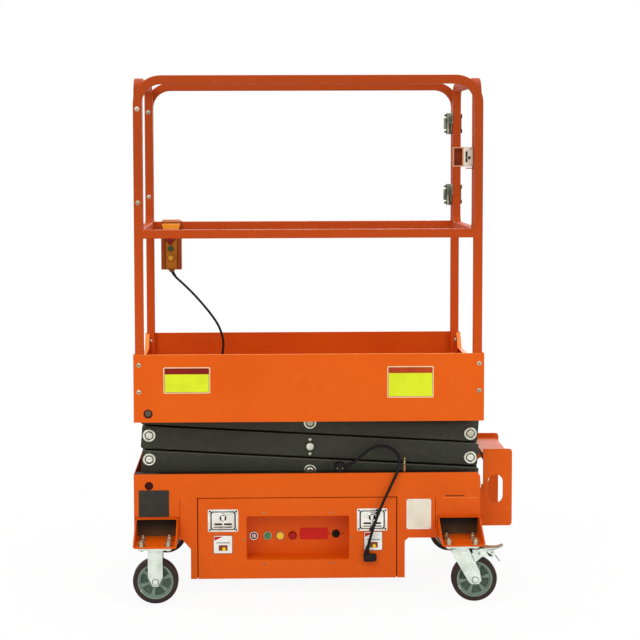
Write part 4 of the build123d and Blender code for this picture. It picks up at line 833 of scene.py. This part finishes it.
# ------------------------------------------------------------------ skirt plates over the cross beams
for side, name in ((-1, "near"), (1, "far")):
    bm = bmesh.new()
    for corners in (
        ((-0.6095, 0.2800), (-0.4566, 0.2800), (-0.4566, 0.2140),
         (-0.4526, 0.2100), (-0.4526, 0.3440), (-0.6095, 0.3440)),
        ((0.4505, 0.2100), (0.4465, 0.2140), (0.4465, 0.3440),
         (0.6005, 0.3440), (0.6005, 0.2800), (0.4505, 0.2800)),
    ):
        side_plate(bm, corners, side, SKIRT_Y, 0.0008, 0, 0.0004)
    # thin dark strips along the plates' inner edges: painted shade
    for x, low in ((-0.4517, 0.2110), (0.4457, 0.2310)):
        side_plate(bm, upright(x - 0.0007, low, x + 0.0007, 0.3400), side, SKIRT_Y, 0.0003, 1)
    # pale bead along the plate's top edge: painted highlight
    side_plate(bm, upright(0.4728, 0.3411, 0.5918, 0.3429), side, SKIRT_Y + 0.0006, 0.0010, 2, 0.0005)
    keep(f"skirt_plates_{name}", bm, "chassis", [ORANGE, HOLE_SHADE, EDGE_HIGHLIGHT], 30.0)
# dark slit in the control-side face: painted shade of the gap between the sheets
bm = bmesh.new()
front_plate(bm, 0.4800, 0.3474, 0.5480, 0.3500, FACE_Y, 0.0003, 0.0012)
keep("skirt_slit", bm, "chassis", [DARK_SHADE], 30.0)

# dark strips in the gaps beside the drawer's front: painted shade
GAP_SHADE_Y = 0.2485
bm = bmesh.new()
for x in (-0.3880, 0.3080):
    side_plate(bm, upright(x - 0.006, 0.0590, x + 0.006, 0.3430), -1, GAP_SHADE_Y, 0.0010)
keep("drawer_gap_shade", bm, "chassis", [DARK_SHADE], 30.0)

# painted shade in the round holes at the left ends of the tracks and of the toe boards: a dark disc for the
# hole and a darkened pin end
for name, body, x, z, radius, depth in (
    ("chassis_hole_shade", "chassis", -0.5590, 0.3900, 0.0150, 0.2590),
    ("board_hole_shade", "platform", -0.5556, 0.6550, 0.0160, 0.3240),
):
    bm = bmesh.new()
    for side in (-1, 1):
        disc(bm, radius, 0, 0.0010, at(x, side * depth, z), (0, side, 0))
        if body == "platform":
            pin_end = ((0, 0), (0.0112, 0), (0.0106, 0.0020), (0, 0.0022))
            turned(bm, pin_end, at(x, side * depth, z + 0.0014), (0, side, 0), 28, 1)
    keep(name, bm, body, [HOLE_SHADE, HOLE_PIN_SHADE], 30.0)


# ------------------------------------------------------------------ signs and plates, all blank
def sign(name, body, layers, y, first=0.0006):
    """Flat sign built up from thin layers: each is (x0, z0, x1, z1, corner, finish)."""
    bm = bmesh.new()
    for index, (x0, z0, x1, z1, corner, _) in enumerate(layers):
        lift = 0.0 if index == 0 else first + 0.0002 * (index - 1)
        front_plate(bm, x0, z0, x1, z1, y - lift, first if index == 0 else 0.0002, corner, index)
    return keep(name, bm, body, [layer[5] for layer in layers], 30.0)


sign("left_sign", "platform", (
    (-0.5016, 0.7262, -0.3409, 0.8168, 0.004, SIGN_BORDER),
    (-0.4982, 0.7296, -0.3443, 0.8134, 0.002, SIGN_RED),
    (-0.4968, 0.7310, -0.3457, 0.7925, 0.0, SIGN_YELLOW),
), -BOARD_Y)
sign("right_sign", "platform", (
    (0.2700, 0.7075, 0.4300, 0.8168, 0.004, SIGN_BORDER),
    (0.2734, 0.7109, 0.4266, 0.8134, 0.002, SIGN_RUST),
    (0.2748, 0.7123, 0.4252, 0.7930, 0.0, SIGN_YELLOW),
), -BOARD_Y)
sign("left_dark_plate", "chassis", (
    (-0.5950, 0.2805, -0.4890, 0.3750, 0.002, SIGN_DARK),
), FACE_Y, 0.0014)
sign("silver_plate", "chassis", (
    (0.3440, 0.2310, 0.4300, 0.3380, 0.004, WHITE_PRINT_AND_HIGHLIGHT),
    (0.3470, 0.2340, 0.4270, 0.3350, 0.002, SIGN_SILVER),
), FACE_Y)
bm = bmesh.new()
for x in (0.3472, 0.4268):
    for z in (0.2342, 0.3348):
        pan_head(bm, at(x, FACE_Y - 0.0006, z), TO_FRONT, 0.0020, 0.0012)
keep("silver_plate_rivets", bm, "chassis", [HINGE_STEEL], 50.0)
for name, x0, z0, x1, z1 in (
    ("left_sticker", -0.3356, 0.1478, -0.2670, 0.2142), ("right_sticker", 0.1933, 0.1554, 0.2600, 0.2242),
):
    bm = bmesh.new()
    middle = (x0 + x1) / 2
    front_plate(bm, x0, z0, x1, z1, FACE_Y, 0.0005, 0.005, 0)
    front_plate(bm, x0 + 0.0022, z0 + 0.0022, x1 - 0.0022, z1 - 0.0022, FACE_Y - 0.0005, 0.0002, 0.0035, 1)
    corner = ((x0 + 0.004, z1 - 0.005), (x0 + 0.004, z1 - 0.020), (x0 + 0.034, z1 - 0.005))
    slab(bm, [at(x, FACE_Y - 0.0007, z) for x, z in corner], TO_FRONT * 0.0002, 0.0, 2)
    for material, (left, low, right, high, lift, rounding) in enumerate((
        (-0.015, 0.011, 0.016, 0.031, 0.0007, 0.001), (-0.002, 0.009, 0.009, 0.023, 0.0009, 0.004),
        (-0.023, 0.038, 0.023, 0.0405, 0.0007, 0.001),
    ), 3):
        front_plate(
            bm, middle + left, z0 + low, middle + right, z0 + high, FACE_Y - lift, 0.0002, rounding, material
        )
    blocks = [SIGN_BROWN, WHITE_PRINT_AND_HIGHLIGHT, SIGN_SCARLET, SIGN_BROWN, YELLOW, SIGN_DARK]
    keep(name, bm, "drawer", blocks, 30.0)
sign("red_plate", "drawer", ((-0.0290, 0.1750, 0.0720, 0.2170, 0.005, SIGN_SCARLET),), RECESS_Y)


# ------------------------------------------------------------------ drawer controls
BUTTON_REACH = 0.010
# radii as shares of the button's own, heights as shares of its reach
BEZEL_PROFILE = (
    (0.9, 0), (1.20, 0), (1.20, 0.3), (1.12, 0.5), (1.02, 0.5), (0.98, 0.34), (0.9, 0.34), (0.9, 0),
)
CAP_PROFILE = ((0.96, 0), (0.96, 0.7), (0.86, 0.92), (0.5, 1.0), (0, 1.02))


def push_button(name, x, z, y, radius, bezel_finish, cap_finish, body="drawer"):
    """Round button: a stepped bezel and a domed cap."""
    bm = bmesh.new()
    for material, profile in enumerate((BEZEL_PROFILE, CAP_PROFILE)):
        scaled = [(share * radius, rise * BUTTON_REACH) for share, rise in profile]
        turned(bm, scaled, at(x, y, z), TO_FRONT, 40, material)
    keep(name, bm, body, [bezel_finish, cap_finish], 40.0)


push_button("start_button", -0.1435, 0.190, RECESS_Y, 0.0128, BEZEL, GREEN)
push_button("lamp_button", -0.0990, 0.190, RECESS_Y, 0.0132, BEZEL, YELLOW)
push_button("stop_button", -0.0546, 0.190, RECESS_Y, 0.0122, SIGN_RED, RED)
bm = bmesh.new()
key_place = at(-0.193, RECESS_Y, 0.190)
socket_place = at(0.100, RECESS_Y, 0.195)
key_ring = (
    (0.0118, 0), (0.0158, 0), (0.0158, 0.0030), (0.0146, 0.0048), (0.0124, 0.0048), (0.0118, 0.0030),
    (0.0118, 0),
)
turned(bm, key_ring, key_place, TO_FRONT, 40, 0)
disc(bm, 0.0122, 0.0005, 0.0022, key_place, TO_FRONT, 32, 2)
# white key barrel: painted highlight on the chromed lock
key_barrel = ((0, 0.0005), (0.0078, 0.0005), (0.0078, 0.0060), (0.0066, 0.0070), (0, 0.0072))
turned(bm, key_barrel, key_place, TO_FRONT, 32, 1)
front_plate(bm, -0.1940, 0.1860, -0.1920, 0.1940, RECESS_Y - 0.0070, 0.0005, 0.0, 2)
for x in (0.076, 0.125):
    pan_head(bm, at(x, RECESS_Y, 0.195), TO_FRONT, 0.0026, 0.0015, 3)
socket_rim = ((0.0125, 0), (0.0145, 0), (0.0145, 0.0016), (0.0132, 0.0024), (0.0125, 0.0016), (0.0125, 0))
turned(bm, socket_rim, socket_place, TO_FRONT, 40, 2)
# dark face inside the socket's rim: painted shade
disc(bm, 0.0132, 0.0003, 0.0010, socket_place, TO_FRONT, 40, 4)
switch_finishes = [CHROME, WHITE_PRINT_AND_HIGHLIGHT, BLACK, SIGN_RED, DARK_SHADE]
key_switch = keep("key_switch_and_socket", bm, "drawer", switch_finishes, 40.0)
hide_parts("panel_controls")

bm = bmesh.new()
for x, z in (
    (-0.156, 0.291), (0.080, 0.292), (-0.156, 0.110), (0.080, 0.113), (-0.228, 0.197), (0.150, 0.203),
):
    pan_head(bm, at(x, FACE_Y, z), TO_FRONT, 0.0036, 0.0016)
keep("drawer_rivets", bm, "drawer", [HINGE_STEEL], 50.0)


def flush_latch(name, x, z):
    """Chromed flush latch: flange, inner pan, lower lip, and lock ring with its finger pull, with painted
    shade in the channel round the pan, above the lower lip, inside the ring and on the corner screws.
    """
    bm = bmesh.new()
    y = FACE_Y - 0.0003

    def plate(x0, z0, x1, z1, lift, thick, corner, material, edge=0.0):
        """Layer of the latch, its corners counted from the latch's middle."""
        front_plate(bm, x + x0, z + z0, x + x1, z + z1, y - lift, thick, corner, material, edge)

    plate(-0.0535, -0.0400, 0.0535, 0.0400, 0.0, 0.0018, 0.006, 0, 0.0007)
    plate(-0.0445, -0.0330, 0.0445, 0.0330, 0.0018, 0.0003, 0.008, 2)
    plate(-0.0400, -0.0300, 0.0400, 0.0300, 0.0020, 0.0014, 0.007, 0, 0.0010)
    plate(-0.0330, -0.0250, 0.0330, -0.0200, 0.0034, 0.0003, 0.002, 1)
    plate(-0.0310, -0.0150, 0.0310, -0.0090, 0.0034, 0.0003, 0.002, 2)
    plate(-0.0340, -0.0200, 0.0340, -0.0150, 0.0034, 0.0016, 0.002, 0, 0.0007)
    disc(bm, 0.0150, 0, 0.0004, at(x, y - 0.0034, z + 0.0120), TO_FRONT, 40, 2)
    ring = [
        (0.0135 + 0.0021 * math.cos(math.tau * step / 10), 0.0026 + 0.0021 * math.sin(math.tau * step / 10))
        for step in range(11)
    ]
    turned(bm, ring, at(x, y - 0.0030, z + 0.0100), TO_FRONT, 40, 0)
    pull = (
        (-0.0070, 0.0160), (-0.0062, 0.0190), (0.0062, 0.0190), (0.0070, 0.0160), (0.0028, -0.0170),
        (-0.0028, -0.0170),
    )
    slab(bm, [at(x + dx, y - 0.0036, z + dz) for dx, dz in pull], TO_FRONT * 0.0030, 0.001, 0, 0.0011)
    disc(bm, 0.0024, 0, 0.0003, at(x, y - 0.0066, z - 0.0010), TO_FRONT, 16, 3)
    for dx in (-0.0465, 0.0465):
        for dz in (-0.0330, 0.0330):
            pan_head(bm, at(x + dx, y - 0.0018, z + dz), TO_FRONT, 0.0034, 0.0012, 2)
    return keep(name, bm, "drawer", [CHROME, HINGE_STEEL, DARK_SHADE, BLACK], 35.0)


latches = [flush_latch("left_latch", -0.3005, 0.266), flush_latch("right_latch", 0.2228, 0.266)]
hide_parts("drawer_latches")

# mains inlet: flange, body, the plugged-in connector and its boot
bm = bmesh.new()
front_plate(bm, 0.1924, 0.1180, 0.2382, 0.1450, FACE_Y, 0.0030, 0.003, 0, 0.0010)
front_plate(bm, 0.1950, 0.1200, 0.2356, 0.1430, FACE_Y - 0.0030, 0.0080, 0.003, 0, 0.0014)
front_plate(bm, 0.1935, 0.1215, 0.2300, 0.1445, FACE_Y - 0.0105, 0.0150, 0.005, 0, 0.0024)
front_plate(bm, 0.1980, 0.1222, 0.2330, 0.1240, FACE_Y - 0.0110, 0.0002, 0.0, 1)
inlet = keep("mains_inlet", bm, "drawer", [BLACK, SIGN_RED], 35.0)
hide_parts("lead_outlet")
lead_boot = boot("lead_boot", LEAD_ROUTE, -0.001, 0.032, 0.0086, 0.0064, "drawer")

# ------------------------------------------------------------------ plug and post on the near track
PLUG = at(0.1093, -0.237, 0.4513)
bm = bmesh.new()
plug_body = (
    (0, 0), (0.0165, 0), (0.0186, 0.0022), (0.0190, 0.0060), (0.0190, 0.0175), (0.0180, 0.0215),
    (0.0160, 0.0235), (0.0150, 0.0235), (0.0140, 0.0222), (0, 0.0222),
)
turned(bm, plug_body, PLUG, TO_FRONT, 40, 0)
neck_from = at(0.1173, -0.2495, 0.4513)
neck_to = at(*LEAD_ROUTE[-1])
neck = ((0, 0.006), (0.0085, 0.006), (0.0080, 0.012), (0.0062, 0.0150), (0, 0.0150))
turned(bm, neck, neck_from, neck_to - neck_from, 24, 0)
contact = ((0, 0.0005), (0.0024, 0.0005), (0.0024, 0.0165), (0.0018, 0.0185), (0, 0.0190))
for dx in (-0.0095, 0.0095):
    disc(bm, 0.0042, 0.0010, 0.0012, PLUG + Vector((dx, -0.0222, 0)), TO_FRONT, 20)
    turned(bm, contact, PLUG + Vector((dx, -0.0240, 0)), TO_FRONT, 20, 1)
plug = keep("mains_plug_moulded", bm, "drawer", [BLACK, BRASS], 40.0)
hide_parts("mains_plug")
bm = bmesh.new()
post = at(0.338, -0.243, 0.4323)
# the foot's coppery tone is a painted reflection of the orange paint on the brass
post_foot = (
    (0, 0), (0.0050, 0), (0.0050, 0.006), (0.0042, 0.009), (0.0034, 0.022), (0.0030, 0.024), (0, 0.024),
)
turned(bm, post_foot, post, UP, 24, 1)
post_head = (
    (0, 0.024), (0.0030, 0.024), (0.0040, 0.026), (0.0040, 0.034), (0.0026, 0.037), (0.0026, 0.039),
    (0.0046, 0.0425), (0.0050, 0.0455), (0.0042, 0.0485), (0.0020, 0.0497), (0, 0.0497),
)
turned(bm, post_head, post, UP, 24, 0)
lead_hook = keep("lead_post_turned", bm, "chassis", [BRASS, BRASS_ORANGE_REFLECTION], 40.0)
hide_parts("lead_post")

# ------------------------------------------------------------------ pendant control
push_button("pendant_up", -0.5036, 1.1905, PENDANT_FACE_Y, 0.0104, PENDANT_SHADE, PENDANT_GREEN, "platform")
push_button("pendant_down", -0.5030, 1.1540, PENDANT_FACE_Y, 0.0108, PENDANT_SHADE, PENDANT_AMBER, "platform")
bm = bmesh.new()
mark = ((-0.5270, 1.2280), (-0.4835, 1.2280), (-0.5005, 1.2040), (-0.5085, 1.2040))
slab(bm, [at(x, PENDANT_FACE_Y, z) for x, z in mark], TO_FRONT * 0.0012, 0.002, 0, 0.0004)
keep("pendant_mark_plate", bm, "platform", [PENDANT_MARK], 35.0)
bm = bmesh.new()
cap = ((-0.5375, 1.2835), (-0.4675, 1.2835), (-0.4745, 1.2560), (-0.5295, 1.2560))
slab(bm, [at(x, 0.2925, z) for x, z in cap], TO_FRONT * 0.0365, 0.004, 0, 0.0030)
keep("pendant_cap", bm, "platform", [PENDANT_CAP], 35.0)
bm = bmesh.new()
# dark strip between the hook and the pendant's cap: painted shade
front_plate(bm, -0.5375, 1.2862, -0.4665, 1.2880, HOLSTER_BACK_Y - 0.0004, 0.0030, 0.0, 1)
# pale lip of the hook: painted highlight
front_plate(bm, -0.5365, 1.2880, -0.4675, 1.2985, HOLSTER_BACK_Y - 0.0004, 0.0020, 0.002, 0, 0.0006)
keep("holster_hook", bm, "platform", [RIM_HIGHLIGHT, HOLSTER_SIDE_SHADE], 35.0)
bm = bmesh.new()
gland = ((0, 0), (0.0125, 0), (0.0120, 0.0030), (0.0095, 0.0080), (0.0070, 0.0105), (0, 0.0105))
turned(bm, gland, at(-0.501, PENDANT_Y, 1.1100), -UP, 28)
keep("pendant_gland", bm, "platform", [GLAND], 35.0)
cable_boot = boot("cable_boot", PENDANT_ROUTE, 0.006, 0.021, 0.0064, 0.0056, "platform")

# ------------------------------------------------------------------ gate latch and hinges
bm = bmesh.new()
front_plate(bm, 0.5358, 1.5040, 0.5674, 1.5690, LATCH_Y, 0.0016, 0.003, 0, 0.0006)
front_plate(bm, 0.5425, 1.5180, 0.5495, 1.5560, LATCH_Y - 0.0016, 0.0005, 0.002, 1)
turned(bm, rounded_profile(0.0042, 0.005, 0.001), at(0.5545, LATCH_Y - 0.0016, 1.5335), TO_FRONT, 24, 1)
front_plate(bm, 0.5455, 1.5310, 0.5600, 1.5360, LATCH_Y - 0.0018, 0.0022, 0.001, 2, 0.0006)
for z in (1.5095, 1.5635):
    pan_head(bm, at(0.5610, LATCH_Y - 0.0016, z), TO_FRONT, 0.0026, 0.0014, 2)
front_plate(bm, 0.5440, 1.4955, 0.5674, 1.4990, LATCH_Y + 0.0040, 0.0040, 0.0, 3, 0.0006)
keep("gate_latch_plate", bm, "gate", [SIGN_SILVER, BLACK, HINGE_STEEL, RAIL], 35.0)


def latch_part(middle, normal):
    """Painted shade inside the folded grip and on its back, and a painted highlight on its pale front rims.
    """
    if middle.x > PLATFORM_X + 0.5352:
        return 0
    inside = abs(normal.y) < 0.5 and abs(middle.z - GRIP_Z) < 0.031 and abs(middle.x - GRIP_X) < 0.016
    back = normal.y < -0.9 and middle.y > -0.270
    if inside or back:
        return 1
    return 2 if normal.y < -0.9 else 0


dress("gate_latch", 0.0008, [RAIL, HOLSTER_SHADE, RIM_HIGHLIGHT], pick=latch_part)
bm = bmesh.new()
for z in HINGE_HEIGHTS:
    barrel = at(0.5405, 0.2830, z - 0.0210)
    turned(bm, rounded_profile(0.0048, 0.042, 0.001), barrel, UP, 20, 0)
    for dz in (-0.0350, 0.0270):
        ear = upright(0.5385, z + dz, 0.5640, z + dz + 0.0080)
        side_plate(bm, ear, 1, 0.2760, 0.0140, 1, 0.0012)
keep("gate_hinge_barrels", bm, "gate", [HINGE_STEEL, HINGE_DARK], 35.0)
bm = bmesh.new()
for z in HINGE_HEIGHTS:
    for z0, z1, thick in ((-0.0360, 0.0360, 0.0075), (-0.0360, -0.0210, 0.0105), (0.0210, 0.0360, 0.0105)):
        leaf = upright(0.2970, z + z0, 0.3200, z + z1)
        slab(bm, [at(0.5985, y, height) for y, height in leaf], Vector((thick, 0, 0)), 0.0, 0, 0.0010)
keep("hinge_back_plates", bm, "platform", [HINGE_DARK], 35.0)

# ------------------------------------------------------------------ anti-slip tread on the deck
bm = bmesh.new()
TREAD_COLUMNS = 38
TREAD_ROWS = 19
TREAD_PITCH = 0.0305
TREAD_SIZE = Matrix.Diagonal((0.0115, 0.0036, 0.0016, 1.0))     # half length, half width, height
for column in range(TREAD_COLUMNS):
    for row in range(TREAD_ROWS):
        along = (column - (TREAD_COLUMNS - 1) / 2) * TREAD_PITCH
        across = (row - (TREAD_ROWS - 1) / 2) * TREAD_PITCH
        place = Matrix.Translation(at(along, across, DECK_TOP_Z - 0.0001))
        turn = Matrix.Rotation(math.radians(45 if (column + row) % 2 else -45), 4, "Z")
        bmesh.ops.create_cone(
            bm, cap_ends=True, cap_tris=False, segments=8, radius1=1.0, radius2=0.62, depth=1.0,
            matrix=place @ turn @ TREAD_SIZE,
        )
keep("deck_tread", bm, "platform", [ORANGE], 40.0, recalc=False)

# ------------------------------------------------------------------ stage, light and camera
def blend_shaders(tree, share, first, second, output):
    """Surface that is a blend of two shaders."""
    blend = tree.nodes.new("ShaderNodeMixShader")
    tree.links.new(share.outputs[0], blend.inputs["Fac"])
    tree.links.new(first, blend.inputs[1])
    tree.links.new(second, blend.inputs[2])
    tree.links.new(blend.outputs["Shader"], tree.nodes[output].inputs["Surface"])


FLOOR_COLOUR = (0.94, 0.94, 0.94, 1.0)
FLOOR_WHITE = (0.93, 1.0)       # share of plain white that the camera sees near the lift and far from it
FLOOR_FADE = (0.9, 2.4)         # distances from the middle between which that share rises
floor_finish, tree, shader, coords = start_finish("floor_white", FLOOR_COLOUR, 0.9, gloss_level=0.0)
glow = tree.nodes.new("ShaderNodeEmission")
glow.inputs["Strength"].default_value = 1.0
rays = tree.nodes.new("ShaderNodeLightPath")
reach = tree.nodes.new("ShaderNodeVectorMath")
reach.operation = "LENGTH"
tree.links.new(coords, reach.inputs[0])
share = tree.nodes.new("ShaderNodeMath")
share.operation = "MULTIPLY"
tree.links.new(rays.outputs["Is Camera Ray"], share.inputs[0])
tree.links.new(spread(tree, reach.outputs["Value"], *FLOOR_WHITE, *FLOOR_FADE), share.inputs[1])
blend_shaders(tree, share, shader.outputs["BSDF"], glow.outputs["Emission"], "Material Output")
bm = bmesh.new()
bmesh.ops.create_grid(bm, x_segments=1, y_segments=1, size=14.0)
bmesh.ops.translate(bm, vec=(0, 0, -0.0006), verts=bm.verts)
floor_mesh = bpy.data.meshes.new("floor")
bm.to_mesh(floor_mesh)
bm.free()
floor_mesh.materials.append(floor_finish)
floor = add_object("floor", floor_mesh)

world = bpy.data.worlds.new("studio")
bpy.context.scene.world = world
world.use_nodes = True
tree = world.node_tree
soft = tree.nodes["Background"]
soft.inputs["Color"].default_value = (0.98, 0.99, 1.0, 1.0)
soft.inputs["Strength"].default_value = 0.55
white = tree.nodes.new("ShaderNodeBackground")
white.inputs["Color"].default_value = (1.0, 1.0, 1.0, 1.0)
white.inputs["Strength"].default_value = 1.0
rays = tree.nodes.new("ShaderNodeLightPath")
seen = tree.nodes.new("ShaderNodeMath")
seen.operation = "MAXIMUM"
tree.links.new(rays.outputs["Is Camera Ray"], seen.inputs[0])
tree.links.new(rays.outputs["Is Glossy Ray"], seen.inputs[1])
blend_shaders(tree, seen, soft.outputs["Background"], white.outputs["Background"], "World Output")


def softbox(name, place, target, size, power):
    """Rectangular lamp that faces its target."""
    lamp = bpy.data.lights.new(name, "AREA")
    lamp.shape = "RECTANGLE"
    lamp.size, lamp.size_y = size
    lamp.energy = power
    holder = add_object(name, lamp)
    holder.location = place
    holder.rotation_euler = (Vector(target) - Vector(place)).to_track_quat("-Z", "Y").to_euler()


softbox("key_light", (-2.4, -4.2, 3.6), (0, 0, 0.9), (2.6, 2.6), 84.0)
softbox("fill_light", (3.0, -4.0, 2.4), (0, 0, 0.8), (2.4, 2.4), 42.0)
softbox("top_light", (0.0, 0.2, 4.6), (0, 0, 0.8), (3.0, 3.0), 72.0)
softbox("back_light", (0.6, 4.2, 3.0), (0, 0, 1.0), (2.6, 2.6), 46.0)

camera_data = bpy.data.cameras.new("camera")
camera_data.sensor_width = 36.0
camera_data.lens = 88.742
camera_data.shift_x = 0.06
camera_data.shift_y = -0.10
camera = add_object("camera", camera_data)
CAMERA_PLACE = (-0.2540, -5.7245, 1.5625)       # in the part's own frame
YAW, PITCH, ROLL = 0.0186, 0.0672, -0.003
forward = Vector((math.sin(YAW) * math.cos(PITCH), math.cos(YAW) * math.cos(PITCH), -math.sin(PITCH)))
turned_to = forward.to_track_quat("-Z", "Y").to_matrix().to_4x4() @ Matrix.Rotation(ROLL, 4, "Z")
camera.matrix_world = Matrix.Translation(CAMERA_PLACE) @ turned_to
bpy.context.scene.camera = camera
bpy.context.scene.view_settings.view_transform = "Standard"

bpy.context.view_layer.update()
